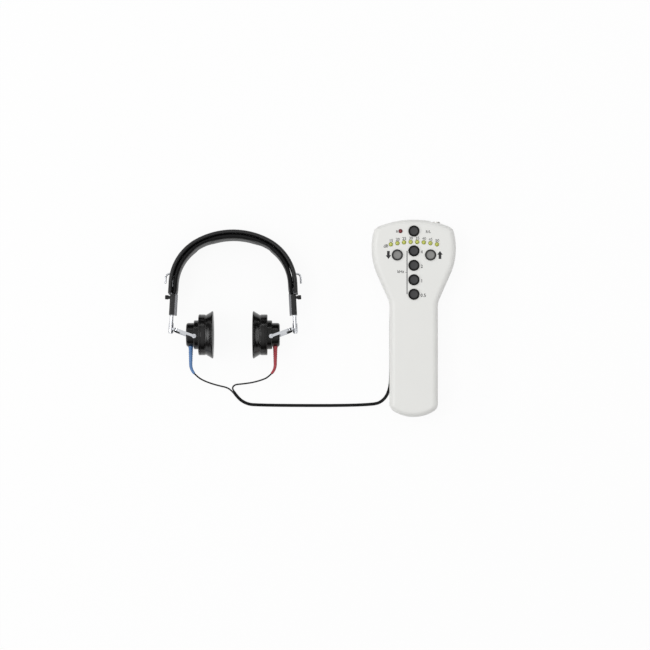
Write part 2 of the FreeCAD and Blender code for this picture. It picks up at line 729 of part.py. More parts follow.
# ------------------------------------------------------------------ hand-held unit: inside
def circuit_board():
    board = prism(unit_outline(BOARD_INSET), BOARD_LOW_Z, BOARD_TOP_Z)
    board = board.common(half_space(BOARD_LOW_Y, UNIT_LENGTH))
    cuts = [upright(BOSS_R + 0.6, spot, 0, UNIT_DEPTH) for spot in CASE_SCREW_SPOTS]
    cuts += [upright(BOARD_SCREW_R + 0.3, spot, 0, UNIT_DEPTH) for spot in BOARD_SCREW_SPOTS]
    seat_back = SOCKET_SEAT_Y - SOCKET_SEAT_THICK
    cuts.append(box((SOCKET_SEAT_X[0] - 1, SOCKET_SEAT_X[1] + 1), (seat_back - 0.5, UNIT_TOP_Y), (0, 99)))
    return board.cut(Part.makeCompound(cuts))


def board_chips():
    """The processor, two amplifiers, a crystal and two smoothing capacitors."""
    top = BOARD_TOP_Z
    chips = [box(x, y, (top, top + high)) for x, y, high in CHIPS]
    return chips + [upright(radius, spot, top, top + high) for spot, radius, high in CAPACITORS]


def key_switches():
    half = SWITCH_SIDE / 2
    low = BOARD_TOP_Z + SWITCH_HIGH - PLUNGER_LONG
    bodies = []
    for x, y in KEY_SPOTS.values():
        body = box((x - half, x + half), (y - half, y + half), (BOARD_TOP_Z, BOARD_TOP_Z + SWITCH_HIGH))
        bodies.append(body.cut(upright(PLUNGER_R + 0.1, (x, y), low, UNIT_DEPTH)))
    return bodies


def key(spot):
    """A cap with a dished top and a stop flange under the face, on its switch's plunger."""
    top = UNIT_DEPTH + KEY_PROUD
    flange_top = FACE_INNER_Z - 0.3
    flange_low = flange_top - KEY_FLANGE_THICK
    stem_low = BOARD_TOP_Z + SWITCH_HIGH + KEY_TRAVEL + SEAM
    rim_r = KEY_R - KEY_RIM
    cap = about_z(
        [
            (0, stem_low),
            (KEY_STEM_R, stem_low),
            (KEY_STEM_R, flange_low),
            (KEY_FLANGE_R, flange_low),
            (KEY_FLANGE_R, flange_top),
            (KEY_R, flange_top),
            (KEY_R, top - 0.5),
            ((KEY_R - 0.15, top - 0.15), (KEY_R - 0.5, top)),
            (rim_r, top),
            dome_arc(rim_r, top, -KEY_DISH),
        ],
        spot,
    )
    plunger = upright(PLUNGER_R, spot, stem_low - PLUNGER_LONG, stem_low)
    return [cap, plunger]


def lamp(spot):
    top = UNIT_DEPTH + LAMP_PROUD
    flange_top = FACE_INNER_Z - 0.3
    flange_low = flange_top - LAMP_FLANGE_THICK
    return about_z(
        [
            (0, flange_low),
            (LAMP_FLANGE_R, flange_low),
            (LAMP_FLANGE_R, flange_top),
            (LAMP_R, flange_top),
            (LAMP_R, top - LAMP_PROUD),
            dome_arc(LAMP_R, top - LAMP_PROUD, LAMP_PROUD),
        ],
        spot,
    )


def lamp_legs():
    half = LAMP_LEG_SIDE / 2
    high = FACE_INNER_Z - 0.3 - LAMP_FLANGE_THICK
    legs = []
    for x, y in lamp_spots() + [EAR_LAMP_SPOT]:
        for dx in (-LAMP_LEG_PITCH / 2, LAMP_LEG_PITCH / 2):
            legs.append(box((x + dx - half, x + dx + half), (y - half, y + half), (BOARD_TOP_Z, high)))
    return legs


def headset_socket():
    seat_back = SOCKET_SEAT_Y - SOCKET_SEAT_THICK
    half = JACK_BODY_SIDE / 2
    back = seat_back - JACK_BODY_LONG
    body = box(
        (SOCKET_X - half, SOCKET_X + half), (back, seat_back - 0.1), (SPLIT_Z - half, BOARD_LOW_Z)
    )
    front = SOCKET_SEAT_Y + JACK_RING_PROUD
    nose = rod(JACK_NOSE_R, Vector(SOCKET_X, back + 2, SPLIT_Z), Y_AXIS, front - back - 2)
    bore = rod(JACK_R, Vector(SOCKET_X, front - JACK_BORE_LONG, SPLIT_Z), Y_AXIS, JACK_BORE_LONG + 1)
    return body.fuse(nose).cut(bore)


def socket_ring():
    start = Vector(SOCKET_X, SOCKET_SEAT_Y, SPLIT_Z)
    ring = rod(JACK_RING_R, start, Y_AXIS, JACK_RING_PROUD)
    return ring.cut(rod(JACK_NOSE_R + 0.05, start, Y_AXIS, JACK_RING_PROUD))


def battery():
    wide, long, high = BATTERY_SIZE
    low = BATTERY_LOW_Z
    block = box((-wide / 2, wide / 2), (BATTERY_END_Y, BATTERY_END_Y + long), (low, low + high))
    lengthways = [e for e in block.Edges if e.BoundBox.YLength > long - 1]
    block = block.makeFillet(BATTERY_EDGE_R, lengthways)
    studs = []
    for x in (-BATTERY_STUD_X, BATTERY_STUD_X):
        start = Vector(x, BATTERY_END_Y + long - 1, low + high / 2)
        studs.append(rod(BATTERY_STUD_R, start, Y_AXIS, 1 + BATTERY_STUD_HIGH))
    return fused([block] + studs)


def battery_snap():
    wide, long, high = BATTERY_SIZE
    margin = SNAP_MARGIN
    face_y = BATTERY_END_Y + long + SLIP
    end_y = BULKHEAD_Y - BULKHEAD_THICK / 2 - SLIP
    clip_z = (BATTERY_LOW_Z + margin, BATTERY_LOW_Z + high - margin)
    clip = box((-wide / 2 + margin / 4, wide / 2 - margin / 4), (face_y, end_y), clip_z)
    centre_z = BATTERY_LOW_Z + high / 2
    wells = []
    for x in (-BATTERY_STUD_X, BATTERY_STUD_X):
        start = Vector(x, face_y, centre_z)
        wells.append(rod(BATTERY_STUD_R + SEAM, start, Y_AXIS, BATTERY_STUD_HIGH + SEAM))
    return clip.cut(Part.makeCompound(wells))


def battery_leads():
    """Two short wires from the clip, through the bulkhead's slot, up to the board's underside."""
    wires = []
    for x in BATTERY_WIRE_XS:
        start_y = BULKHEAD_Y - BULKHEAD_THICK / 2 - SLIP
        route = [
            Vector(x, start_y, BATTERY_WIRE_Z),
            Vector(x, start_y + BATTERY_WIRE_REACH, BATTERY_WIRE_Z),
            Vector(x, start_y + BATTERY_WIRE_REACH + BATTERY_WIRE_LEAN, BOARD_LOW_Z - SEAM),
        ]
        wires.append(tube(route, round_section(BATTERY_WIRE_R)))
    return wires


def case_screws():
    screws = []
    for spot in CASE_SCREW_SPOTS:
        seat = CASE_SCREW_SEAT_Z
        head = upright(CASE_SCREW_HEAD_R, spot, seat - CASE_SCREW_HEAD_HIGH, seat)
        shank = upright(CASE_SCREW_R, spot, seat, seat + CASE_SCREW_LONG)
        screws.append(cross_recessed(fused([head, shank]), spot, seat - CASE_SCREW_HEAD_HIGH, 1.2, 3.4))
    return screws


def board_screws():
    screws = []
    for spot in BOARD_SCREW_SPOTS:
        seat = BOARD_LOW_Z
        head = upright(BOARD_SCREW_HEAD_R, spot, seat - BOARD_SCREW_HEAD_HIGH, seat)
        shank = upright(BOARD_SCREW_R, spot, seat, seat + BOARD_SCREW_LONG)
        screws.append(cross_recessed(fused([head, shank]), spot, seat - BOARD_SCREW_HEAD_HIGH, 0.8, 2.6))
    return screws


def cross_recessed(screw, spot, low, deep, span):
    x, y = spot
    arm = span / 2
    slots = [
        box((x - arm, x + arm), (y - 0.3, y + 0.3), (low - 1, low + deep)),
        box((x - 0.3, x + 0.3), (y - arm, y + arm), (low - 1, low + deep)),
    ]
    return screw.cut(slots[0].fuse(slots[1]))


# ------------------------------------------------------------------ headband, in the headset's frame
def band_side_centre():
    crown = Vector(0, CROWN_HIGH - CROWN_R, 0)
    return polar(crown, CROWN_R - BAND_SIDE_R, 90 - CROWN_HALF_ANGLE)


def band_tangent_point(depth=0.0):
    return polar(band_side_centre(), BAND_SIDE_R - depth, BAND_LEAN)


def band_end(depth=0.0, beyond=0.0):
    """A point of the band's right end at a depth below its outer face."""
    down = polar(Vector(0, 0, 0), BAND_STRAIGHT + beyond, BAND_LEAN - 90)
    return band_tangent_point(depth) + down


def band_course(depth, beyond):
    """Edges of the band's curve at a depth, from its left end over the crown to its right end."""
    crown = Vector(0, CROWN_HIGH - CROWN_R, 0)
    side = band_side_centre()
    other = Vector(-side.x, side.y, 0)
    radius = BAND_SIDE_R - depth
    end = band_end(depth, beyond)
    start_right = band_tangent_point(depth)
    return [
        line(Vector(-end.x, end.y, 0), Vector(-start_right.x, start_right.y, 0)),
        arc(other, radius, 180 - BAND_LEAN, 90 + CROWN_HALF_ANGLE),
        arc(crown, CROWN_R - depth, 90 + CROWN_HALF_ANGLE, 90 - CROWN_HALF_ANGLE),
        arc(side, radius, 90 - CROWN_HALF_ANGLE, BAND_LEAN),
        line(start_right, end),
    ]


def band_layer(outer, inner, wide, beyond=0.0):
    """The band's curve between two depths, as wide as given about the middle plane."""
    outside = band_course(outer, beyond)
    inside = band_course(inner, beyond)
    right = line(band_end(outer, beyond), band_end(inner, beyond))
    back = [edge.copy() for edge in reversed(inside)]
    end_outer = band_end(outer, beyond)
    end_inner = band_end(inner, beyond)
    left = line(Vector(-end_inner.x, end_inner.y, 0), Vector(-end_outer.x, end_outer.y, 0))
    wire = Part.Wire(Part.__sortEdges__(outside + [right] + back + [left]))
    return prism(wire, -wide / 2, wide / 2)


def at_band_end(shape):
    """From the band end's frame (x outwards from the outer face, y up the band) to the headset's frame."""
    moved = shape.copy()
    moved.Placement = Placement(band_end(), Rotation(Z_AXIS, BAND_LEAN)).multiply(moved.Placement)
    return moved


def band_rims(layer, depth):
    """The long edges of a layer's sides at a depth below the band's outer face."""
    half = BAND_WIDE / 2
    rims = []
    for edge in edges_at(layer, half) + edges_at(layer, -half):
        middle = edge.valueAt((edge.FirstParameter + edge.LastParameter) / 2)
        if abs(depth_in_band(middle) - depth) < 0.1:
            rims.append(edge)
    return rims


def headband_cover():
    cover = band_layer(0.0, COVER_THICK, BAND_WIDE)
    cover = cover.makeFillet(BAND_CORNER_R, band_rims(cover, 0.0))
    cover = cover.cut(band_layer(COVER_SKIN, COVER_THICK + 1, BAND_CHANNEL_WIDE, 1.0))
    rod_top = ROD_BEND_Y + ROD_BEND_R + ROD_WIRE_R + ROD_UP
    across = (-2 * COVER_THICK, COVER_THICK)
    slot = box(across, (-2, rod_top + ROD_SLOT_CLEAR), (-ROD_SLOT_HALF, ROD_SLOT_HALF))
    right = at_band_end(slot)
    return cover.cut(right).cut(mirrored_left(right))


def depth_in_band(point):
    """How far a point lies below the band's outer face."""
    side = band_side_centre()
    if point.x < 0:
        point = Vector(-point.x, point.y, point.z)
    flat = Vector(point.x, point.y, 0)
    angle = bearing(side, flat)
    if angle > 90 - CROWN_HALF_ANGLE:
        return CROWN_R - (flat - Vector(0, CROWN_HIGH - CROWN_R, 0)).Length
    if angle > BAND_LEAN:
        return BAND_SIDE_R - (flat - side).Length
    out = polar(Vector(0, 0, 0), 1.0, BAND_LEAN)
    return BAND_SIDE_R - (flat - side).dot(out)


def headband_pad():
    pad = band_layer(PAD_OUTER, PAD_INNER, BAND_WIDE)
    pad = pad.makeFillet(PAD_CORNER_R, band_rims(pad, PAD_INNER))
    return pad.cut(band_layer(PAD_OUTER - 1, PAD_FLOOR, BAND_CHANNEL_WIDE, 1.0))


def headband_spring():
    depths = (SPRING_OUTER, SPRING_OUTER + SPRING_THICK)
    strip = band_layer(*depths, SPRING_WIDE, -0.2)
    tails = band_layer(*depths, SPRING_TAIL_WIDE, CLAMP_GAP + CLAMP_LONG)
    tails = tails.common(half_space(-UNIT_LENGTH, band_end().y + SPRING_TAIL_ROOT))
    edges = []
    half = SPRING_TAIL_WIDE / 2
    inner = -SPRING_OUTER - SPRING_THICK
    for z in ((half - SPRING_EDGE_THICK, half), (-half, SPRING_EDGE_THICK - half)):
        edge = at_band_end(box((inner - SPRING_EDGE_DEEP, inner), (-CLAMP_GAP - CLAMP_LONG, -CLAMP_GAP), z))
        edges += [edge, mirrored_left(edge)]
    spring = fused([strip, tails] + edges)
    holes = []
    for z in (-CLAMP_SCREW_Z, CLAMP_SCREW_Z):
        start = Vector(-PAD_INNER - 5, CLAMP_SCREW_Y, z)
        hole = at_band_end(rod(CLAMP_SCREW_R + 0.05, start, X_AXIS, 12))
        holes += [hole, mirrored_left(hole)]
    return spring.cut(Part.makeCompound(holes))


# ------------------------------------------------------------------ right side hardware, headset's frame
def rod_clamp():
    top = -CLAMP_GAP
    low = top - CLAMP_LONG
    half = CLAMP_WIDE / 2
    block = box((-CLAMP_INNER, -CLAMP_OUTER), (low, top), (-half, half))
    long_ones = [e for e in block.Edges if abs(e.BoundBox.YMax - e.BoundBox.YMin) > CLAMP_LONG - 1]
    outside = [e for e in long_ones if e.BoundBox.XMax > -CLAMP_OUTER - 0.1]
    block = block.makeFillet(CLAMP_EDGE_R * 1.6, outside)
    bore = rod(ROD_R + ROD_CLEAR, Vector(-ROD_DEPTH, low - 1, 0), Y_AXIS, CLAMP_LONG + 2)
    screw = rod(KNOB_SHAFT_R + 0.05, Vector(-ROD_DEPTH, KNOB_Y, 0), X_AXIS, ROD_DEPTH)
    cuts = [bore, screw]
    for z in (-CLAMP_SCREW_Z, CLAMP_SCREW_Z):
        start = Vector(-CLAMP_INNER - 1, CLAMP_SCREW_Y, z)
        cuts.append(rod(CLAMP_SCREW_R + 0.05, start, X_AXIS, CLAMP_SCREW_DEEP + 1.2))
    return at_band_end(block.cut(Part.makeCompound(cuts)))


def clamp_screws_right():
    screws = []
    seat = -SPRING_OUTER - SPRING_THICK
    for z in (-CLAMP_SCREW_Z, CLAMP_SCREW_Z):
        head = rod(CLAMP_SCREW_HEAD_R, Vector(seat - CLAMP_SCREW_HEAD_HIGH, CLAMP_SCREW_Y, z), X_AXIS,
                   CLAMP_SCREW_HEAD_HIGH)
        shank = rod(CLAMP_SCREW_R, Vector(seat, CLAMP_SCREW_Y, z), X_AXIS, CLAMP_SCREW_DEEP + SPRING_THICK)
        screws.append(at_band_end(head.fuse(shank)))
    return screws


def lock_knob():
    """A fluted thumb screw whose tip presses on the rod."""
    face = KNOB_SUNK - CLAMP_OUTER
    grip = face + KNOB_NECK_LONG
    end = face + KNOB_LONG
    tip = -ROD_DEPTH + ROD_R + 0.1
    head = rod(KNOB_R, Vector(grip, KNOB_Y, 0), X_AXIS, end - grip)
    head = head.makeFillet(KNOB_EDGE_R, [e for e in head.Edges if e.BoundBox.XMin > end - 0.1])
    flutes = []
    for i in range(KNOB_FLUTES):
        spot = polar(Vector(KNOB_Y, 0, 0), KNOB_R + KNOB_FLUTE_R / 2, 360 / KNOB_FLUTES * i)
        flutes.append(rod(KNOB_FLUTE_R, Vector(grip + KNOB_EDGE_R, spot.x, spot.y), X_AXIS, KNOB_LONG))
    head = head.cut(Part.makeCompound(flutes))
    neck = rod(KNOB_NECK_R, Vector(face, KNOB_Y, 0), X_AXIS, KNOB_NECK_LONG)
    shaft = rod(KNOB_SHAFT_R, Vector(tip, KNOB_Y, 0), X_AXIS, face - tip)
    return at_band_end(fused([head, neck, shaft]))


def adjuster_rod():
    """A round rod that slides in the clamp: a hairpin above, a shoulder and a riveted pin below."""
    x = -ROD_DEPTH
    straight = rod(ROD_R, Vector(x, ROD_SHOULDER_Y, 0), Y_AXIS, ROD_NECK_Y - ROD_SHOULDER_Y)
    neck = Part.makeCone(ROD_R, ROD_WIRE_R, ROD_NECK_LONG, Vector(x, ROD_NECK_Y, 0), Y_AXIS)
    wire = rod(ROD_WIRE_R, Vector(x, ROD_NECK_Y, 0), Y_AXIS, ROD_BEND_Y - ROD_NECK_Y)
    ring = Part.makeTorus(ROD_BEND_R, ROD_WIRE_R, Vector(x + ROD_BEND_R, ROD_BEND_Y, 0), Z_AXIS)
    bend = ring.common(box((-50, 50), (ROD_BEND_Y, ROD_BEND_Y + 20), (-9, 9)))
    hook_start = Vector(x + 2 * ROD_BEND_R, ROD_HOOK_END_Y, 0)
    hook = rod(ROD_WIRE_R, hook_start, Y_AXIS, ROD_BEND_Y - ROD_HOOK_END_Y)
    cut_end = [e for e in hook.Edges if e.BoundBox.YMax < ROD_HOOK_END_Y + 0.1]
    hook = hook.makeFillet(ROD_WIRE_END_R, cut_end)
    shoulder_low = ROD_SHOULDER_Y - ROD_SHOULDER_THICK
    shoulder = rod(ROD_SHOULDER_R, Vector(x, shoulder_low, 0), Y_AXIS, ROD_SHOULDER_THICK)
    pin_low = shoulder_low - BARREL_LONG - 2 * BARREL_CLEAR
    pin = rod(PIN_R, Vector(x, pin_low, 0), Y_AXIS, shoulder_low - pin_low)
    rivet = rod(RIVET_R, Vector(x, pin_low - RIVET_THICK, 0), Y_AXIS, RIVET_THICK)
    low_edges = [e for e in rivet.Edges if e.BoundBox.YMax < pin_low - RIVET_THICK + 0.1]
    rivet = rivet.makeFillet(RIVET_EDGE_R, low_edges)
    return at_band_end(fused([straight, neck, wire, bend, hook, shoulder, pin, rivet]))


def barrel_middle():
    """Middle of the yoke's barrel, in the headset's frame."""
    y = ROD_SHOULDER_Y - ROD_SHOULDER_THICK - BARREL_CLEAR - BARREL_LONG / 2
    local = Vector(-ROD_DEPTH, y, 0)
    return band_end() + Rotation(Z_AXIS, BAND_LEAN).multVec(local)


def yoke():
    """A flat strip bent to a fork that carries the cup, with a barrel that swivels on the rod's pin."""
    pivot = Vector(PIVOT_X, PIVOT_Y, 0)
    barrel = barrel_middle()
    slope = bearing(pivot, barrel)
    reach = (barrel - pivot).Length - BARREL_R + 0.4
    inner = YOKE_GAP / 2
    outer = inner + YOKE_THICK
    bend_in = YOKE_BEND_R - YOKE_THICK

    def flat(x, z):
        return Vector(x, 0, z)

    def quarter(x, z, radius, sign):
        a = math.radians(45)
        return flat(x + radius * math.cos(a), z + sign * radius * math.sin(a))

    bend_x = reach - YOKE_BEND_R
    near = reach - YOKE_THICK
    bend_z = outer - YOKE_BEND_R
    edges = [
        line(flat(0, -outer), flat(bend_x, -outer)),
        curved(flat(bend_x, -outer), quarter(bend_x, -bend_z, YOKE_BEND_R, -1), flat(reach, -bend_z)),
        line(flat(reach, -bend_z), flat(reach, bend_z)),
        curved(flat(reach, bend_z), quarter(bend_x, bend_z, YOKE_BEND_R, 1), flat(bend_x, outer)),
        line(flat(bend_x, outer), flat(0, outer)),
        line(flat(0, outer), flat(0, inner)),
        line(flat(0, inner), flat(bend_x, inner)),
        curved(flat(bend_x, inner), quarter(bend_x, bend_z, bend_in, 1), flat(near, bend_z)),
        line(flat(near, bend_z), flat(near, -bend_z)),
        curved(flat(near, -bend_z), quarter(bend_x, -bend_z, bend_in, -1), flat(bend_x, -inner)),
        line(flat(bend_x, -inner), flat(0, -inner)),
        line(flat(0, -inner), flat(0, -outer)),
    ]
    face = Part.Face(Part.Wire(edges))
    face.translate(Vector(0, -YOKE_WIDE / 2, 0))
    strip = face.extrude(Vector(0, YOKE_WIDE, 0))
    eyes = []
    for z in (inner, -outer):
        eyes.append(rod(YOKE_EYE_R, Vector(0, 0, z), Z_AXIS, YOKE_THICK))
    web = box((reach - 0.8, reach + BARREL_R - 0.2), (-YOKE_WIDE / 2, YOKE_WIDE / 2), (-2.2, 2.2))
    fork = fused([strip, web] + eyes)
    fork = fork.cut(rod(PIVOT_SHANK_R + PIN_CLEAR, Vector(0, 0, -outer - 1), Z_AXIS, 2 * outer + 2))
    fork.Placement = Placement(pivot, Rotation(Z_AXIS, slope))
    up = polar(Vector(0, 0, 0), 1.0, 90 + BAND_LEAN)
    low = barrel - up * (BARREL_LONG / 2)
    sleeve = rod(BARREL_R, low, up, BARREL_LONG)
    bore = rod(PIN_R + PIN_CLEAR, low - up, up, BARREL_LONG + 2)
    return fork.fuse(sleeve).cut(bore).removeSplitter()


# ------------------------------------------------------------------ right cup, in the headset's frame
def cushion():
    """Moulded rubber ear cushion: a dished face, a flared lip and a skirt over the earphone's case."""
    face = CUSHION_FACE_X
    flare = CUSHION_FLARE_X
    body_r = CUSHION_BODY_R
    hole_x = face + CUSHION_DISH
    driver_r = DRIVER_R + DRIVER_CLEAR
    case_r = CASE_FLANGE_R + DRIVER_CLEAR
    case_front = DRIVER_FRONT_X + 2.3
    lip_middle = ((CUSHION_RIM_X + flare) / 2 + 0.3, (CUSHION_R + CUSHION_NECK_R) / 2 - 0.7)
    return about_cup_axis(
        [
            (hole_x, SOUND_HOLE_R),
            ((face + 1.9, (SOUND_HOLE_R + CUSHION_CREST_R) / 2 - 0.6), (face, CUSHION_CREST_R)),
            ((face + 0.15, CUSHION_R - 1.2), (CUSHION_RIM_X, CUSHION_R)),
            ((CUSHION_RIM_X + 0.7, CUSHION_R - 0.3), (CUSHION_RIM_X + 1.0, CUSHION_R - 0.8)),
            (lip_middle, (flare, CUSHION_NECK_R)),
            (flare + 0.3, CUSHION_NECK_R),
            ((flare + 0.5, body_r - 0.2), (flare + 1.0, body_r)),
            (CUSHION_BACK_X, body_r),
            (CUSHION_BACK_X, case_r),
            (case_front, case_r),
            (case_front, driver_r),
            (DRIVER_FRONT_X - 0.1, driver_r),
            (DRIVER_FRONT_X - 0.1, SOUND_HOLE_R),
        ]
    )


def driver():
    """The receiver capsule behind the cushion's hole, with a ring of sound holes in its front."""
    capsule = rod(DRIVER_R, Vector(DRIVER_FRONT_X, 0, 0), X_AXIS, DRIVER_THICK)
    holes = [rod(GRILLE_HOLE_R, Vector(DRIVER_FRONT_X - 1, 0, 0), X_AXIS, 2.2)]
    for i in range(GRILLE_HOLES):
        spot = polar(Vector(0, 0, 0), GRILLE_RING_R, i * 360 / GRILLE_HOLES)
        holes.append(rod(GRILLE_HOLE_R, Vector(DRIVER_FRONT_X - 1, spot.x, spot.y), X_AXIS, 2.2))
    return capsule.cut(Part.makeCompound(holes))


def earphone_case():
    """Carries the driver, closes the cushion and holds the yoke's pivots on two bosses."""
    flange_front = DRIVER_FRONT_X + 2.5
    plate_front = CUSHION_BACK_X + 0.1
    plate_back = plate_front + CASE_PLATE_THICK
    bore = DRIVER_R + DRIVER_CLEAR
    driver_back = DRIVER_FRONT_X + DRIVER_THICK + 0.1
    room = STEP_R - 2.7
    body = about_cup_axis(
        [
            (flange_front, bore),
            (flange_front, CASE_FLANGE_R),
            (plate_front, CASE_FLANGE_R),
            (plate_front, CUSHION_BODY_R),
            (plate_back - 1.0, CUSHION_BODY_R),
            ((plate_back - 0.3, CUSHION_BODY_R - 0.3), (plate_back, CUSHION_BODY_R - 1.0)),
            (plate_back, STEP_R),
            (STEP_BACK_X - 0.8, STEP_R),
            (STEP_BACK_X, STEP_R - 0.8),
            (STEP_BACK_X, room),
            (driver_back, room),
            (driver_back, bore),
        ]
    )
    inner = YOKE_GAP / 2 - SEAM
    bosses = []
    holes = []
    for sign in (1, -1):
        root = Vector(PIVOT_X, PIVOT_Y, sign * (room + 0.4))
        bosses.append(rod(PIVOT_BOSS_R, root, Vector(0, 0, sign), inner - room - 0.4))
        hole = Vector(PIVOT_X, PIVOT_Y, sign * (inner - PIVOT_SCREW_DEEP - 0.3))
        holes.append(rod(PIVOT_SHANK_R + 0.05, hole, Vector(0, 0, sign), PIVOT_SCREW_DEEP + 3))
    body = fused([body] + bosses)
    return body.cut(Part.makeCompound(holes))


def pivot_screws():
    screws = []
    arm_outer = YOKE_GAP / 2 + YOKE_THICK
    for sign in (1, -1):
        along = Vector(0, 0, sign)
        seat = arm_outer + SLIP
        head = rod(PIVOT_HEAD_R, Vector(PIVOT_X, PIVOT_Y, sign * seat), along, PIVOT_HEAD_HIGH)
        tip = YOKE_GAP / 2 - SEAM - PIVOT_SCREW_DEEP
        shank = rod(PIVOT_SHANK_R, Vector(PIVOT_X, PIVOT_Y, sign * tip), along, seat - tip)
        outer = sign * (seat + PIVOT_HEAD_HIGH)
        slot = box(
            (PIVOT_X - PIVOT_HEAD_R, PIVOT_X + PIVOT_HEAD_R),
            (PIVOT_Y - PIVOT_SLOT_WIDE / 2, PIVOT_Y + PIVOT_SLOT_WIDE / 2),
            sorted((outer, outer - sign * PIVOT_SLOT_DEEP)),
        )
        screws.append(head.fuse(shank).cut(slot))
    return screws


def cup_cap():
    """The domed cover over the earphone's terminals, with the lead's hole in its lower side."""
    front = STEP_BACK_X + 0.1
    inner = CAP_R - CAP_WALL
    edge = CAP_EDGE_R
    cap = about_cup_axis(
        [
            (front, inner),
            (front, CAP_R),
            (CAP_BACK_X - edge, CAP_R),
            ((CAP_BACK_X - edge * 0.29, CAP_R - edge * 0.29), (CAP_BACK_X, CAP_R - edge)),
            (CAP_BACK_X + 0.01, 0),
            (CAP_BACK_X - CAP_WALL, 0),
            (CAP_BACK_X - CAP_WALL, inner),
        ]
    )
    hole = rod(RELIEF_NECK_R + 0.1, Vector(RELIEF_X, -CAP_R - 1, 0), Y_AXIS, CAP_WALL + 2)
    flat = box(
        (RELIEF_X - RELIEF_TOP_R - 0.3, RELIEF_X + RELIEF_TOP_R + 0.3),
        (-CAP_R - 1, -CAP_R + RELIEF_SEAT_DEEP),
        (-RELIEF_TOP_R - 0.5, RELIEF_TOP_R + 0.5),
    )
    return cap.cut(hole).cut(flat)


def relief_tip():
    """Where the lead leaves the strain relief, and its direction there, in the headset's frame."""
    turn = math.radians(RELIEF_TURN)
    centre_x = RELIEF_X - RELIEF_BEND_R
    y = RELIEF_TOP_Y - RELIEF_STRAIGHT
    point = Vector(centre_x + RELIEF_BEND_R * math.cos(turn), y - RELIEF_BEND_R * math.sin(turn), 0)
    return point, Vector(-math.sin(turn), -math.cos(turn), 0)


def cord_relief():
    """A tapered rubber sleeve, straight below the cap and then curving inwards."""
    start = Vector(RELIEF_X, RELIEF_SEAT_DEEP - CAP_R, 0)
    bend_start = Vector(RELIEF_X, RELIEF_TOP_Y - RELIEF_STRAIGHT, 0)
    middle_r = RELIEF_TIP_R + 0.15
    top = Part.makeCone(RELIEF_TOP_R, middle_r, start.y - bend_start.y, start, Vector(0, -1, 0))
    grooves = []
    for i in range(RELIEF_RIBS):
        spot = Vector(RELIEF_X, start.y - (i + 1) * RELIEF_RIB_PITCH, 0)
        here_r = RELIEF_TOP_R - (RELIEF_TOP_R - middle_r) * (start.y - spot.y) / (start.y - bend_start.y)
        ring = rod(RELIEF_TOP_R + 1, spot, Y_AXIS, RELIEF_GROOVE_WIDE)
        grooves.append(ring.cut(rod(here_r - RELIEF_GROOVE_DEEP, spot, Y_AXIS, RELIEF_GROOVE_WIDE)))
    top = top.cut(Part.makeCompound(grooves))
    neck = rod(RELIEF_NECK_R, start, Y_AXIS, RELIEF_NECK_LONG)
    section = Part.Face(Part.Wire([Part.makeCircle(middle_r, bend_start, Y_AXIS)]))
    centre = Vector(RELIEF_X - RELIEF_BEND_R, bend_start.y, 0)
    bend = section.revolve(centre, Vector(0, 0, -1), RELIEF_TURN)
    return fused([top, neck, bend])


# ------------------------------------------------------------------ laying the headset down
def mirrored_left(shape):
    return shape.mirror(Vector(0, 0, 0), X_AXIS)


def headset_tilt():
    """The angle at which the crown's edge and the cushions' rims both touch the table."""
    low, high = 0.0, 30.0
    for _ in range(60):
        middle = (low + high) / 2
        a = math.radians(middle)
        crown_z = CUSHION_R - CROWN_HIGH * math.sin(a) - HEADSET_HALF_WIDE * math.cos(a)
        if crown_z > 0:
            low = middle
        else:
            high = middle
    return (low + high) / 2


def headset_placement():
    turn = Rotation(X_AXIS, -headset_tilt())
    return Placement(Vector(HEADSET_X, HEADSET_CUPS_Y, CUSHION_R), turn)


def laid_down(shapes):
    place = headset_placement()
    moved = []
    for shape in shapes:
        copy = shape.copy()
        copy.Placement = place.multiply(copy.Placement)
        moved.append(copy)
    return moved


# ------------------------------------------------------------------ leads, coil and plug
def round_section(radius):
    def section(point, direction):
        return Part.Wire([Part.makeCircle(radius, point, direction)])

    return section


def twin_section(point, direction):
    """A flat oval across the lead's direction, lying flat."""
    half_round = TWIN_LEAD_HIGH / 2
    out = (TWIN_LEAD_WIDE - TWIN_LEAD_HIGH) / 2
    across = Vector(-direction.y, direction.x, 0)
    across.normalize()
    up = Vector(0, 0, half_round)
    a = point + across * out
    b = point - across * out
    edges = [
        Part.Arc(a + up, a + across * half_round, a - up).toShape(),
        line(a - up, b - up),
        Part.Arc(b - up, b - across * half_round, b + up).toShape(),
        line(b + up, a + up),
    ]
    return Part.Wire(edges)


def rounded_path(points):
    """Straight runs joined by tangent arcs, each as large as its two runs allow."""
    edges = []
    radii = []
    here = points[0]
    for before, corner, after in zip(points, points[1:], points[2:]):
        back = before - corner
        ahead = after - corner
        half_turn = (math.pi - back.getAngle(ahead)) / 2
        setback = 0.45 * min(back.Length, ahead.Length)
        radii.append(round(setback / math.tan(half_turn), 1))
        back.normalize()
        ahead.normalize()
        start = corner + back * setback
        end = corner + ahead * setback
        bisector = back + ahead
        bisector.normalize()
        radius = setback / math.tan(half_turn)
        middle = corner + bisector * (math.sqrt(radius**2 + setback**2) - radius)
        edges.append(line(here, start))
        edges.append(Part.Arc(start, middle, end).toShape())
        here = end
    edges.append(line(here, points[-1]))
    return Part.Wire(edges), radii


def tube(points, section):
    path, radii = rounded_path(points)
    direction = points[1] - points[0]
    direction.normalize()
    swept = path.makePipeShell([section(points[0], direction)], True, False)
    area = Part.Face(section(points[0], direction)).Area
    ratio = swept.Volume / area / path.Length
    print("lead of", round(path.Length, 1), "mm, radii", radii, "volume ratio", round(ratio, 4))
    return swept


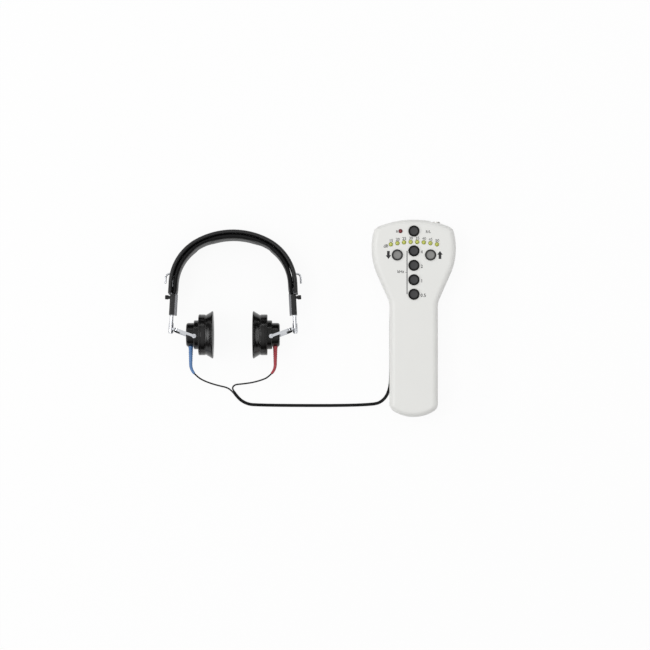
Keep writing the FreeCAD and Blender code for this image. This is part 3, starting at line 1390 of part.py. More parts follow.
def thin_lead(side, points):
    """From a strain relief's tip down to the fork; side is 1 for the right lead and -1 for the left."""
    tip, direction = relief_tip()
    if side < 0:
        tip = Vector(-tip.x, tip.y, 0)
        direction = Vector(-direction.x, direction.y, 0)
    place = headset_placement()
    start = place.multVec(tip)
    first = place.Rotation.multVec(direction)
    along = TWIN_LEAD[0] - LEAD_FORK
    along.normalize()
    across = Vector(-along.y, along.x, 0) * (side * THIN_LEAD_R)
    end = LEAD_FORK + across
    route = [start, start + first * 6.0] + points + [end]
    return tube(route, round_section(THIN_LEAD_R))


def lead_main():
    return tube([LEAD_FORK] + TWIN_LEAD, twin_section)


def lead_tail():
    boot = Vector(PLUG_X, PLUG_TOP_Y, LEAD_TAIL_Z)
    return tube(TAIL_LEAD + [boot + Y_AXIS * PLUG_STRAIGHT, boot], twin_section)


def lead_coil():
    half = COIL_TURNS_WIDE * TWIN_LEAD_WIDE / 2
    high = COIL_LAYERS * TWIN_LEAD_HIGH
    ring = upright(COIL_TURN_R + half, COIL_CENTRE, 0, high)
    return ring.cut(upright(COIL_TURN_R - half, COIL_CENTRE, -1, high + 1))


def plug_body():
    z = PLUG_BODY_R
    y = PLUG_TOP_Y
    down = Vector(0, -1, 0)
    boot = Part.makeCone(PLUG_BOOT_R, PLUG_BODY_R - 0.8, PLUG_BOOT_LONG, Vector(PLUG_X, y, z), down)
    body = rod(PLUG_BODY_R, Vector(PLUG_X, y - PLUG_BOOT_LONG, z), down, PLUG_BODY_LONG)
    ends = [e for e in body.Edges if e.BoundBox.YMax - e.BoundBox.YMin < 0.01]
    return body.makeFillet(0.8, ends).fuse(boot)


def plug_pin():
    """A three-pole 3.5 mm pin with its insulating grooves and a pointed tip."""
    r = PLUG_PIN_R
    base = PLUG_TOP_Y - PLUG_BOOT_LONG - PLUG_BODY_LONG

    def at(radius, along):
        return Vector(PLUG_X + radius, base - along, PLUG_BODY_R)

    groove = r - PLUG_RING_DEEP
    points = [at(0, 0), at(r, 0)]
    for ring in PLUG_RINGS:
        past = ring + PLUG_RING_WIDE
        points += [at(r, ring), at(groove, ring), at(groove, past), at(r, past)]
    points += [at(r, PLUG_TIP_NECK - 0.6), at(groove - 0.3, PLUG_TIP_NECK), at(r, PLUG_TIP_NECK + 0.6)]
    points += [at(PLUG_TIP_R, PLUG_PIN_LONG), at(0, PLUG_PIN_LONG)]
    return turned(points, at(0, 0), Y_AXIS)


# ------------------------------------------------------------------ all pieces
def unit_pieces():
    pieces = {
        "front_shell": [front_shell()],
        "back_shell": [back_shell()],
        "battery_door": [battery_door()],
        "circuit_board": [circuit_board()],
        "board_chips": board_chips(),
        "key_switches": key_switches(),
        "level_lamps": [lamp(spot) for spot in lamp_spots()],
        "ear_lamp": [lamp(EAR_LAMP_SPOT)],
        "lamp_legs": lamp_legs(),
        "headset_socket": [headset_socket()],
        "socket_ring": [socket_ring()],
        "battery": [battery()],
        "battery_snap": [battery_snap()],
        "battery_leads": battery_leads(),
        "case_screws": case_screws(),
        "board_screws": board_screws(),
    }
    for name, spot in KEY_SPOTS.items():
        pieces[name] = key(spot)
    return pieces


def headset_pieces():
    """Both sides' pieces in the row's frame; the left side mirrors the right one."""
    right = {
        "rod_clamp": [rod_clamp()],
        "lock_knob": [lock_knob()],
        "adjuster_rod": [adjuster_rod()],
        "yoke": [yoke()],
        "cushion": [cushion()],
        "driver": [driver()],
        "earphone_case": [earphone_case()],
        "pivot_screws": pivot_screws(),
        "cup_cap": [cup_cap()],
        "cord_relief": [cord_relief()],
    }
    pieces = {
        "headband_cover": laid_down([headband_cover()]),
        "headband_pad": laid_down([headband_pad()]),
        "headband_spring": laid_down([headband_spring()]),
    }
    screws = clamp_screws_right()
    pieces["clamp_screws"] = laid_down(screws + [mirrored_left(screw) for screw in screws])
    for name, shapes in right.items():
        pieces[name + "_right"] = laid_down(shapes)
        pieces[name + "_left"] = laid_down([mirrored_left(shape) for shape in shapes])
    return pieces


def lead_pieces():
    return {
        "lead_left": [thin_lead(-1, THIN_LEAD_LEFT)],
        "lead_right": [thin_lead(1, THIN_LEAD_RIGHT)],
        "lead_main": [lead_main()],
        "lead_tail": [lead_tail()],
        "lead_coil": [lead_coil()],
        "plug_body": [plug_body()],
        "plug_pin": [plug_pin()],
    }


def solids_of(shapes):
    return [solid for shape in shapes for solid in shape.Solids]


def write_parts():
    os.makedirs("parts", exist_ok=True)
    pieces = {**unit_pieces(), **headset_pieces(), **lead_pieces()}
    for name, shapes in pieces.items():
        solids = solids_of(shapes)
        for solid in solids:
            assert solid.isValid() and solid.isClosed(), name
        shape = solids[0] if len(solids) == 1 else Part.makeCompound(solids)
        shape.exportStep("parts/" + name + ".step")
        print(name, len(solids), round(shape.Volume))


def print_joint_frames():
    """Joint axes and points in the row's frame, in millimetres."""
    place = headset_placement()
    up = place.Rotation.multVec(polar(Vector(0, 0, 0), 1.0, 90 + BAND_LEAN))
    out = place.Rotation.multVec(polar(Vector(0, 0, 0), 1.0, BAND_LEAN))
    across = place.Rotation.multVec(Z_AXIS)
    knob = band_end() + Rotation(Z_AXIS, BAND_LEAN).multVec(Vector(0, KNOB_Y, 0))
    print("tilt", headset_tilt())
    print("right rod axis", tuple(up), "out", tuple(out), "cup pivot axis", tuple(across))
    print("right barrel", tuple(place.multVec(barrel_middle())))
    print("right pivot", tuple(place.multVec(Vector(PIVOT_X, PIVOT_Y, 0))))
    print("right knob", tuple(place.multVec(knob)))


write_parts()
print_joint_frames()
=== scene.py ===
import math

import bmesh
import bpy
from mathutils import Matrix, Vector


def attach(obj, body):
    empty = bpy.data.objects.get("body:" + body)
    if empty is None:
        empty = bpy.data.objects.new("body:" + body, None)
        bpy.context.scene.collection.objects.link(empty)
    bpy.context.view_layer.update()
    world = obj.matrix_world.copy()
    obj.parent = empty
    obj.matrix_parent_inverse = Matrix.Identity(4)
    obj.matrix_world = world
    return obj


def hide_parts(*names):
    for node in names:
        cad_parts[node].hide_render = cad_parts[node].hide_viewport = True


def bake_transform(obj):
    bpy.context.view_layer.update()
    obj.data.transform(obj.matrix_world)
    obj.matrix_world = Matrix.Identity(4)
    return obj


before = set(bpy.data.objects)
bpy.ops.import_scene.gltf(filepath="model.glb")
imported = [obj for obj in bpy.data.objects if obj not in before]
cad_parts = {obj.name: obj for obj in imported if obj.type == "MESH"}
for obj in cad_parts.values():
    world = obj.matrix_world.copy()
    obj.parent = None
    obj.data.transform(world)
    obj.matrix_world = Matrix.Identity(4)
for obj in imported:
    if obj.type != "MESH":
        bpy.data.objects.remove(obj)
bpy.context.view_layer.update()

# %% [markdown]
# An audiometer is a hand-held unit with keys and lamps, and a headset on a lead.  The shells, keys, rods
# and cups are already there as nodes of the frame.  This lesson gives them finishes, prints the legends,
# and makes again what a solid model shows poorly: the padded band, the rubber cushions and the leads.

MM = 0.001


def placed(name, data):
    """A new object of the scene, at the origin."""
    obj = bpy.data.objects.new(name, data)
    bpy.context.scene.collection.objects.link(obj)
    return obj


def as_mesh(name, bm):
    """The bmesh as mesh data; the bmesh is used up."""
    mesh = bpy.data.meshes.new(name)
    bm.to_mesh(mesh)
    bm.free()
    return mesh


def mesh_of(obj):
    """A new mesh of the object as it looks, with its modifiers applied."""
    bpy.context.view_layer.update()
    return bpy.data.meshes.new_from_object(obj.evaluated_get(bpy.context.evaluated_depsgraph_get()))


def only(kind, items):
    return [item for item in items if isinstance(item, kind)]


def edge_loop(bm, places):
    """New vertices at the places, and the closed loop of edges through them."""
    verts = [bm.verts.new(place) for place in places]
    return verts, [bm.edges.new((verts[k - 1], verts[k])) for k in range(len(verts))]


# %% [markdown]
# The headset lies on its side, so its pieces are easiest to draw upright: X across the head, Y up to the
# crown and Z through the width of the band.  One matrix then lays them down beside the unit.

# %% The headset's own frame
HEADSET_TILT = 5.0259345
HEADSET_SPOT = Matrix.Translation(Vector((-207.9, -19.0, 27.5)) * MM)
HEADSET_PLACE = HEADSET_SPOT @ Matrix.Rotation(math.radians(-HEADSET_TILT), 4, "X")
MIRROR = Matrix.Scale(-1, 4, (1, 0, 0))


def on_headset(x, y, z=0.0, side=1):
    """A point of the headset's frame in the row frame; side -1 mirrors it to the left ear."""
    return HEADSET_PLACE @ (Vector((side * x, y, z)) * MM)


# %% [markdown]
# Shader maths reads like school maths when a socket can stand in a sum.  This small class wraps a socket,
# and each operator adds the Math node that it stands for.


# %% Sums of sockets
def operator(operation, swapped=False):
    """A method that feeds the signal and the other value to one Math node."""

    def method(self, other):
        return self.maths(operation, *((other, self) if swapped else (self, other)))

    return method


class Signal:
    """A number that varies over a surface."""

    def __init__(self, finish, socket):
        self.finish = finish
        self.socket = socket

    def maths(self, operation, first, second, clamp=False):
        settings = {"operation": operation, "use_clamp": clamp}
        return self.finish.signal("ShaderNodeMath", settings, {0: first, 1: second})

    __add__ = __radd__ = operator("ADD")
    __mul__ = __rmul__ = operator("MULTIPLY")
    __sub__, __rsub__ = operator("SUBTRACT"), operator("SUBTRACT", swapped=True)
    __truediv__, __pow__ = operator("DIVIDE"), operator("POWER")

    def below(self, edge, soft):
        """1 where the signal is under an edge, 0 above it, with a soft step."""
        return self.maths("ADD", (edge - self) / soft, 0.5, clamp=True)


# %% [markdown]
# A finish is a material with one Principled shader.  What is the same everywhere is set on the shader's
# sockets, and what varies is worked out from Object coordinates, which stay with the piece in every pose.


# %% Finishes
def srgb(red, green, blue):
    """A colour as a picture editor names it, 0 to 255, in the linear numbers that a shader takes."""

    def linear(value):
        value /= 255
        return value / 12.92 if value <= 0.04045 else ((value + 0.055) / 1.055) ** 2.4

    return (linear(red), linear(green), linear(blue), 1.0)


def shade(colour, factor, lift=0.0):
    """The colour made lighter or darker, and lifted off black."""
    return tuple(min(1.0, channel * factor + lift) for channel in colour[:3]) + (1.0,)


class Finish:
    """A material and the nodes that make it."""

    def __init__(self, name, colour, roughness, **fixed):
        self.material = bpy.data.materials.new(name)
        self.material.use_nodes = True
        self.tree = self.material.node_tree
        self.tree.nodes.clear()
        base = {"Base Color": colour, "Roughness": roughness}
        self.shader = self.node("ShaderNodeBsdfPrincipled", {}, base)
        for socket, value in fixed.items():
            self.shader.inputs[socket.replace("_", " ")].default_value = value
        self.output = self.node("ShaderNodeOutputMaterial", {}, {"Surface": self.shader.outputs[0]})
        self.material.diffuse_color = colour
        self.place = self.node("ShaderNodeTexCoord").outputs["Object"]

    def node(self, kind, settings=None, sockets=None):
        node = self.tree.nodes.new(kind)
        for setting, value in (settings or {}).items():
            setattr(node, setting, value)
        for key, value in (sockets or {}).items():
            self.feed(node.inputs[key], value)
        return node

    def feed(self, socket, value):
        if isinstance(value, Signal):
            value = value.socket
        if isinstance(value, bpy.types.NodeSocket):
            self.tree.links.new(value, socket)
        else:
            socket.default_value = value

    def signal(self, kind, settings, sockets, output=0):
        return Signal(self, self.node(kind, settings, sockets).outputs[output])

    def noise(self, size, detail=3.0, roughness=0.5, stretch=(1, 1, 1)):
        """Cloudy noise from 0 to 1 with lumps of about the given size, in metres."""
        place = self.node("ShaderNodeMapping", {}, {"Vector": self.place, "Scale": stretch}).outputs[0]
        sockets = {"Vector": place, "Scale": 1 / size, "Detail": detail, "Roughness": roughness}
        return self.signal("ShaderNodeTexNoise", {}, sockets)

    def cells(self, size, feature="DISTANCE_TO_EDGE", randomness=1.0, place=None):
        sockets = {"Vector": place or self.place, "Scale": 1 / size, "Randomness": randomness}
        return self.signal("ShaderNodeTexVoronoi", {"feature": feature}, sockets)

    def axis(self, index):
        return Signal(self, self.node("ShaderNodeSeparateXYZ", {}, {0: self.place}).outputs[index])

    def between(self, mask, first, second):
        """A colour that goes from first to second as the mask goes from 0 to 1."""
        node = self.node("ShaderNodeMix", {"data_type": "RGBA"}, {0: mask, 6: first, 7: second})
        return node.outputs[2]

    def paint(self, colour):
        self.feed(self.shader.inputs["Base Color"], colour)

    def vary(self, low, high, mask):
        """The roughness goes from low to high with the mask."""
        self.feed(self.shader.inputs["Roughness"], mask * (high - low) + low)

    def raise_by(self, height, depth, strength=1.0):
        """Bump from a height signal, where 1 stands depth metres above 0."""
        sockets = {"Height": height, "Distance": depth, "Strength": strength}
        self.feed(self.shader.inputs["Normal"], self.node("ShaderNodeBump", {}, sockets).outputs[0])


# %% [markdown]
# Plastics first.  A moulded shell has a very fine spark-eroded texture, a slightly uneven gloss and, on a
# light colour, faint clouds of handling grime.


# %% Moulded plastics
MOULD_GRAIN = 0.00035


def moulded(name, colour, roughness, depth=0.00002, cloud=0.03, **fixed):
    finish = Finish(name, colour, roughness, **fixed)
    finish.paint(finish.between(finish.noise(0.03, 4.0), colour, shade(colour, 1 - cloud * 3)))
    finish.vary(roughness - 0.05, roughness + 0.07, finish.noise(0.006, 3.0))
    finish.raise_by(finish.noise(MOULD_GRAIN, 2.0, 0.6), depth)
    return finish


unit_white = moulded("unit_white", srgb(232, 232, 229), 0.42, cloud=0.01, Coat_Weight=0.05)
door_white = moulded("door_white", srgb(231, 231, 227), 0.44, cloud=0.012, Coat_Weight=0.05)
black_mould = moulded("black_mould", srgb(22, 22, 23), 0.38, depth=0.000012, Specular_IOR_Level=0.4)
clamp_black = moulded("clamp_black", srgb(14, 14, 15), 0.33, depth=0.00001, Specular_IOR_Level=0.4)
cup_black = moulded("cup_black", srgb(7, 6, 6), 0.22, depth=0.000006, Specular_IOR_Level=0.35)
print("moulded plastics for the unit, its door, the clamps and the cups")

# %% [markdown]
# Metal takes its look from what it mirrors.  Chrome that is handled has hair scratches along its length
# and a dull veil in places; both go into the roughness, and the scratches into a very shallow bump.


# %% Metals
SCRATCH_DEPTH = 0.000002


def metal(name, colour, roughness, scratch=0.35, stretch=(1, 1, 1)):
    finish = Finish(name, colour, roughness, Metallic=1.0)
    hairs = finish.noise(0.0006, 3.0, 0.7, stretch)
    veil = finish.noise(0.008, 3.0)
    finish.vary(roughness, roughness + scratch * 0.4, hairs * veil)
    finish.paint(finish.between(veil, colour, shade(colour, 0.86)))
    finish.raise_by(hairs, SCRATCH_DEPTH, 0.6)
    return finish


chrome = metal("chrome", srgb(214, 216, 220), 0.07, stretch=(1, 0.06, 1))
spring_steel = metal("spring_steel", srgb(132, 133, 136), 0.2, 0.5)
zinc_screw = metal("zinc_screw", srgb(196, 198, 202), 0.26, 0.5)
nickel = metal("nickel", srgb(222, 219, 212), 0.24)
tinned = metal("tinned", srgb(200, 201, 203), 0.3)
driver_can = metal("driver_can", srgb(168, 168, 170), 0.34, 0.5)
print("metals: chrome, spring steel, zinc, nickel, tin and the drivers' cans")

# %% [markdown]
# The keys are silicone caps: satin and a little dusty, with a painted highlight in the lighter dish and
# painted shade round the darker rim.  The distance from the key's axis comes from Object coordinates, so each
# key has its own centre.


# %% Keys
KEYS = {
    "key_ear": (0.0, 100.2),
    "key_4khz": (0.0, 77.4),
    "key_2khz": (0.0, 60.8),
    "key_1khz": (0.0, 44.2),
    "key_500hz": (0.0, 27.6),
    "key_down": (-19.1, 72.7),
    "key_up": (19.1, 72.7),
}
KEY_RIM_R = 4.4
# each pair of tones: the dish's lighter tone, a painted highlight, and the rim's darker tone, painted shade
KEY_LIT_AND_SHADED_TONES = {"black": (srgb(74, 74, 75), srgb(3, 3, 3)), "grey": (srgb(144, 144, 142), srgb(46, 46, 46))}


def key_finish(name, spot, tone):
    # middle is the dish's tone with a painted highlight, and rim is the rim's tone with painted shade
    middle, rim = KEY_LIT_AND_SHADED_TONES[tone]
    finish = Finish("cap_" + name, middle, 0.42, Specular_IOR_Level=0.12)
    centre = {"Vector": finish.place, "Location": (-spot[0] * MM, -spot[1] * MM, 0), "Scale": (1, 1, 0)}
    flat = finish.node("ShaderNodeMapping", {}, centre).outputs[0]
    away = finish.signal("ShaderNodeVectorMath", {"operation": "LENGTH"}, {0: flat}, 1)
    lit_dish = away.below(KEY_RIM_R * MM, 0.0016)
    fine = finish.noise(0.0004, 2.0)
    # painted highlight in the dish and painted shade on the rim, with a little random tone
    finish.paint(finish.between(lit_dish * (0.85 + 0.15 * fine), rim, middle))
    finish.vary(0.34, 0.5, lit_dish * fine)
    finish.raise_by(fine, 0.000006)
    return finish


KEY_FINISHES = {}
for key, spot in KEYS.items():
    KEY_FINISHES[key] = key_finish(key, spot, "grey" if key in ("key_down", "key_up") else "black")
print("key finishes:", len(KEY_FINISHES))

# %% [markdown]
# The band is covered in grained leatherette.  Leather grain is a net of small plates with creases between
# them, so it is made from the distance to the edges of Voronoi cells, bent by noise, with finer pores on
# top.  The plates wear smoother than the creases.


# %% Leatherette
def leatherette(name, colour, grain, gloss):
    finish = Finish(name, colour, 0.5, Specular_IOR_Level=gloss)
    drift = finish.node("ShaderNodeTexNoise", {}, {"Vector": finish.place, "Scale": 1 / 0.004})
    ways = {0: 0.0012, 4: finish.place, 5: drift.outputs["Color"]}
    bent = finish.node("ShaderNodeMix", {"data_type": "VECTOR"}, ways).outputs[1]
    plates = finish.cells(grain, place=bent)
    creases = plates.below(0.12, 0.16)
    pores = finish.noise(0.0003, 2.0)
    wear = finish.noise(0.018, 4.0)
    finish.paint(finish.between((1 - creases) * wear, colour, shade(colour, 1.5, 0.002)))
    finish.vary(0.3, 0.55, creases * 0.6 + pores * 0.4)
    finish.raise_by((1 - creases) * 0.8 + pores * 0.2, 0.00006, 0.6)
    return finish


band_leather = leatherette("band_leather", srgb(17, 17, 18), 0.0008, 0.4)
pad_leather = leatherette("pad_leather", srgb(13, 13, 14), 0.0007, 0.14)
thread = Finish("thread", srgb(30, 30, 31), 0.7, Sheen_Weight=0.3)
thread.raise_by(thread.noise(0.0003, 2.0), 0.00008)
print("leatherette for the band and its pad, and the thread of their seam")

# %% [markdown]
# The ear cushions are smooth, rather glossy rubber, and the leads a duller one; both carry a thin bloom of
# dust in patches.  The sleeves of the leads are blue for the left ear and red for the right.


# %% Rubbers
def rubber(name, colour, roughness, bloom=1.6, **fixed):
    finish = Finish(name, colour, roughness, **fixed)
    dust = finish.noise(0.012, 4.0, 0.6)
    finish.paint(finish.between(dust**2, colour, shade(colour, bloom, 0.003)))
    finish.vary(roughness - 0.03, roughness + 0.05, finish.noise(0.002, 3.0))
    finish.raise_by(finish.noise(0.0003, 3.0), 0.000004)
    return finish


cushion_rubber = rubber("cushion_rubber", srgb(7, 6, 6), 0.19, 1.3, Specular_IOR_Level=0.4)
lead_sheath = rubber("lead_sheath", srgb(6, 6, 7), 0.42, 1.2, Specular_IOR_Level=0.2)
relief_blue = rubber("relief_blue", srgb(80, 120, 170), 0.36, 1.15)
relief_red = rubber("relief_red", srgb(160, 50, 60), 0.36, 1.15)
RELIEFS = {"left": (relief_blue, "relief_blue"), "right": (relief_red, "relief_red")}
print("rubbers: cushions, leads, and the sleeves", *RELIEFS)

# %% [markdown]
# The rest is seen only through gaps or when the door is off: the board, its parts and the battery.  They
# still get a finish of their own, because the door slides away.


# %% Electronics
def circuit_green():
    """Solder mask over copper: the tracks are a slightly lighter green, along the edges of cells."""
    finish = Finish("circuit_green", srgb(22, 84, 48), 0.3, Coat_Weight=0.3)
    cells = finish.cells(0.0032, randomness=0.7)
    tracks = cells.below(0.12, 0.05)
    finish.paint(finish.between(tracks, srgb(18, 74, 42), srgb(42, 118, 66)))
    finish.raise_by(tracks, 0.00003)
    return finish


board_green = circuit_green()
chip_black = moulded("chip_black", srgb(30, 30, 31), 0.55)
battery_jacket = Finish("battery_jacket", srgb(40, 42, 46), 0.3, Metallic=0.6)
battery_end = battery_jacket.axis(1).below(-0.092, 0.0004)
battery_jacket.paint(battery_jacket.between(battery_end, srgb(52, 55, 60), srgb(176, 128, 70)))
battery_jacket.vary(0.24, 0.36, battery_jacket.noise(0.004, 3.0))
wire_red = rubber("wire_red", srgb(150, 26, 26), 0.4)
print("electronics: board, chips, battery and its wires")

# %% [markdown]
# A lamp is a clear epoxy bullet tinted by its dye, with the metal cup of the chip showing through as a
# spot in the middle.  The finish reads how far out a point lies from an attribute of the lamp's mesh.


# %% Lamps
def lamp_finish(name, edge, middle, chip):
    """Reads the attribute 'out', 0 on the lamp's axis and 1 at its rim."""
    finish = Finish(name, edge, 0.24)
    out = Signal(finish, finish.node("ShaderNodeAttribute", {"attribute_name": "out"}).outputs["Fac"])
    glow = finish.between(out.below(0.62, 0.35), edge, middle)
    finish.paint(finish.between(out.below(0.22, 0.16), glow, chip))
    return finish


lamp_yellow = lamp_finish("lamp_yellow", srgb(172, 178, 34), srgb(212, 218, 120), srgb(120, 118, 44))
lamp_red = lamp_finish("lamp_red", srgb(120, 14, 28), srgb(84, 4, 16), srgb(190, 96, 100))
print("lamp finishes: yellow and red")

# %% [markdown]
# Every new piece goes through one small function: it turns a bmesh into an object at the origin, smooths
# what is not a real edge, gives it its finish and lets it ride on a body.


# %% New pieces
def close_normals(bm):
    bmesh.ops.remove_doubles(bm, verts=bm.verts, dist=1e-7)
    bmesh.ops.recalc_face_normals(bm, faces=bm.faces)


def smooth_but_edges(mesh, degrees=35):
    mesh.polygons.foreach_set("use_smooth", [True] * len(mesh.polygons))
    mesh.set_sharp_from_angle(angle=math.radians(degrees))


def piece(name, bm, finish, slot, body=None, sharp=35):
    """The bmesh as an object of the scene; it rides on the body when one is given."""
    mesh = as_mesh(name, bm)
    smooth_but_edges(mesh, sharp)
    mesh.materials.append(finish.material)
    obj = placed(name, mesh)
    if body:
        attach(obj, body)
    return obj


def lathe(profile, axis, steps):
    """A bmesh turned about an axis through the origin, from (radius, height) pairs; 'X' or 'Z' axis."""
    bm = bmesh.new()
    places = [(r * MM, 0, h * MM) if axis == "Z" else (h * MM, r * MM, 0) for r, h in profile]
    verts = [bm.verts.new(place) for place in places]
    edges = [bm.edges.new(pair) for pair in zip(verts, verts[1:])]
    direction = (0, 0, 1) if axis == "Z" else (1, 0, 0)
    full = {"angle": math.tau, "steps": steps, "use_merge": True}
    bmesh.ops.spin(bm, geom=verts + edges, cent=(0, 0, 0), axis=direction, **full)
    close_normals(bm)
    return bm


# %% [markdown]
# The camera comes early, because it decides what of the cords is seen.  It looks straight down from far
# away through a long lens, so that the sides of the unit stay nearly hidden.

# %% Camera
VIEW_WIDE = 747.5 * MM
VIEW_MIDDLE = (-0.1021, -0.0077)
LENS_HEIGHT = 3.6
VIEW_LEVEL = 0.03  # the height at which the view is VIEW_WIDE across
SENSOR_WIDE = 36.0
camera_data = bpy.data.cameras.new("camera")
camera_data.sensor_width = SENSOR_WIDE
camera_data.lens = SENSOR_WIDE * (LENS_HEIGHT - VIEW_LEVEL) / VIEW_WIDE
camera_data.clip_end = 20.0
camera = placed("camera", camera_data)
camera.location = (*VIEW_MIDDLE, LENS_HEIGHT)
bpy.context.scene.camera = camera
print("camera lens", round(camera_data.lens, 1), "mm")

# %% [markdown]
# A lead is a fixed length of something limp.  Its line is a smooth NURBS spline through control points,
# and the sheath is swept along it.  The thin leads come down from the cups to the fork;
# from there a flat twin lead lies on the table and ends in a coil under the unit's raised head.


# %% Routes
def spline_points(name, route, resolution=12):
    """Points along the NURBS curve of a route that is given in millimetres; the points are in metres."""
    data = bpy.data.curves.new(name, "CURVE")
    data.dimensions = "3D"
    data.resolution_u = resolution
    data.twist_mode = "Z_UP"
    spline = data.splines.new("NURBS")
    spline.points.add(len(route) - 1)
    for point, place in zip(spline.points, route):
        point.co = (place[0] * MM, place[1] * MM, place[2] * MM, 1.0)
    spline.order_u = 3
    spline.use_endpoint_u = True
    helper = placed(name + "_line", data)
    line = mesh_of(helper)
    points = [vertex.co.copy() for vertex in line.vertices]
    bpy.data.meshes.remove(line)
    bpy.data.objects.remove(helper)
    bpy.data.curves.remove(data)
    return points


def length_of(points):
    return sum((b - a).length for a, b in zip(points, points[1:]))


def evenly(points, step):
    """Points a step apart along a line, ends kept."""
    count = max(2, round(length_of(points) / step))
    gap = length_of(points) / count
    out = [points[0].copy()]
    left = gap
    for a, b in zip(points, points[1:]):
        span = (b - a).length
        while span > left + 1e-12 and len(out) < count:
            a = a.lerp(b, left / span)
            out.append(a.copy())
            span = (b - a).length
            left = gap
        left -= span
    out.append(points[-1].copy())
    return out


# %% [markdown]
# The sheath is a ring of vertices carried along the line and bridged to the next ring.  A twin lead's ring
# is a flat figure of eight that stays level, because the lead lies on its flat side.


# %% Sheaths
def round_ring(radius, count=12):
    turns = [math.tau * i / count for i in range(count)]
    return [(radius * math.cos(turn), radius * math.sin(turn)) for turn in turns]


GROOVE_SHARE = 0.62  # of a core's radius, how high the twin lead still is between its cores


def twin_ring(wide, high, count):
    """Two round cores side by side with a shallow groove between them."""
    core = high / 2
    out = wide / 2 - core
    ring = []
    for i in range(count):
        angle = -math.pi / 2 + math.pi * i / (count - 1)
        ring.append((out + core * math.cos(angle), core * math.sin(angle)))
    ring.append((0.0, core * GROOVE_SHARE))
    left = [(-x, y) for x, y in reversed(ring[:-1])]
    return ring + left + [(0.0, -core * GROOVE_SHARE)]


def sheath(points, ring, grow=None):
    """A tube along points from a ring of (across, up) offsets, in millimetres, closed at its ends.

    Where grow is given, it is a factor on the ring for each point.
    """
    bm = bmesh.new()
    last = None
    for i, point in enumerate(points):
        ahead = points[min(i + 1, len(points) - 1)] - points[max(i - 1, 0)]
        ahead.normalize()
        across = Vector((-ahead.y, ahead.x, 0)).normalized()
        up = ahead.cross(across) * -1
        if up.z < 0:
            up = up * -1
        size = MM * (grow[i] if grow else 1.0)
        verts, edges = edge_loop(bm, [point + across * (a * size) + up * (u * size) for a, u in ring])
        if last:
            bmesh.ops.bridge_loops(bm, edges=last + edges)
        else:
            bm.faces.new(verts)
        last = edges
    bm.faces.new(verts)
    bmesh.ops.recalc_face_normals(bm, faces=bm.faces)
    return bm


# %% [markdown]
# The thin leads hang from the earphones, which sit on three joints: the cup's tilt, the yoke's swivel and the
# rod's slide.  Each lead is cut in an upper and a lower half, and each half is a piece of its own, fixed
# where it is drawn.

# %% Thin leads
THIN_R = 0.9
LEAD_FORK = (-207.4, -86.0, 0.9)
RELIEF_X, RELIEF_STRAIGHT_Y, RELIEF_BEND_R, RELIEF_TURN = 48.6, -33.9, 15.7, math.radians(43.4)
RELIEF_TIP = (
    RELIEF_X - RELIEF_BEND_R + RELIEF_BEND_R * math.cos(RELIEF_TURN),
    RELIEF_STRAIGHT_Y - RELIEF_BEND_R * math.sin(RELIEF_TURN),
)
RELIEF_WAY = (-math.sin(RELIEF_TURN), -math.cos(RELIEF_TURN))
THIN_ROUTES = {
    "left": [
        (-241.4, -71.9, 26.8), (-232.8, -75.4, 19.6), (-223.6, -78.2, 8.8), (-216.6, -79.9, 2.6),
        (-211.6, -82.6, 0.9),
    ],
    "right": [
        (-174.6, -70.9, 26.9), (-184.4, -73.8, 18.2), (-193.6, -75.4, 8.6), (-200.4, -76.2, 2.9),
        (-206.0, -76.8, 1.0), (-209.0, -79.2, 0.9), (-209.3, -82.5, 0.9),
    ],
}
SIDES = {"left": -1, "right": 1}
PAST_TIP = 6  # how far a thin lead runs straight on from its sleeve
PAST_FORK = (-202.6, -92.7, 0.9)
FORK_WAY = Vector([there - here for here, there in zip(LEAD_FORK, PAST_FORK)]).normalized()
FORK_ACROSS = Vector((-FORK_WAY.y, FORK_WAY.x, 0))


def thin_line(ear):
    side = SIDES[ear]
    tip = on_headset(*RELIEF_TIP, 0, side) / MM
    past = [spot + way * PAST_TIP for spot, way in zip(RELIEF_TIP, RELIEF_WAY)]
    end = Vector(LEAD_FORK) + FORK_ACROSS * (side * THIN_R)
    return spline_points("thin_" + ear, [tip, on_headset(*past, 0, side) / MM] + THIN_ROUTES[ear] + [end])


for ear in SIDES:
    line = evenly(thin_line(ear), 0.001)
    middle = len(line) // 2
    halves = {"upper": (line[: middle + 1], "fork_" + ear, "slider_" + ear)}
    halves["lower"] = (line[middle:], "slider_" + ear, "unit")
    for half, (points, above, below) in halves.items():
        lead = piece(f"lead_{ear}_{half}", sheath(points, round_ring(THIN_R)), lead_sheath, "lead_black")
        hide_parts("lead_" + ear)
        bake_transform(lead)
        print("lead", ear, half, round(length_of(points) / MM, 1), "mm")

# %% [markdown]
# Where each lead leaves its cup, a moulded sleeve keeps it from kinking: thick and ribbed at the top, thin
# at the tip.

# %% Strain reliefs
RELIEF_TOP_Y, RELIEF_TOP_R, RELIEF_TIP_R = -13.3, 2.65, 1.45
RIB_FIRST, RIB_PITCH, RIBS, GROOVE_DEEP = 3.0, 2.5, 7, 0.4
COLLAR_LONG, COLLAR_HIGH = 1.4, 0.25
TIP_ROUND, TIP_DROP = 0.5, 0.35
RELIEF_STEP, RELIEF_AROUND = 0.22, 28


def relief_line(side):
    """Points down the sleeve's middle, and how far along it each lies, in millimetres."""
    straight = RELIEF_TOP_Y - RELIEF_STRAIGHT_Y
    long = straight + RELIEF_BEND_R * RELIEF_TURN
    points, steps = [], []
    for i in range(round(long / RELIEF_STEP) + 1):
        along = min(long, i * RELIEF_STEP)
        turn = max(0.0, (along - straight) / RELIEF_BEND_R)
        x = RELIEF_X - RELIEF_BEND_R * (1 - math.cos(turn))
        y = RELIEF_TOP_Y - min(along, straight) - RELIEF_BEND_R * math.sin(turn)
        points.append(on_headset(x, y, 0, side))
        steps.append(along)
    return points, steps


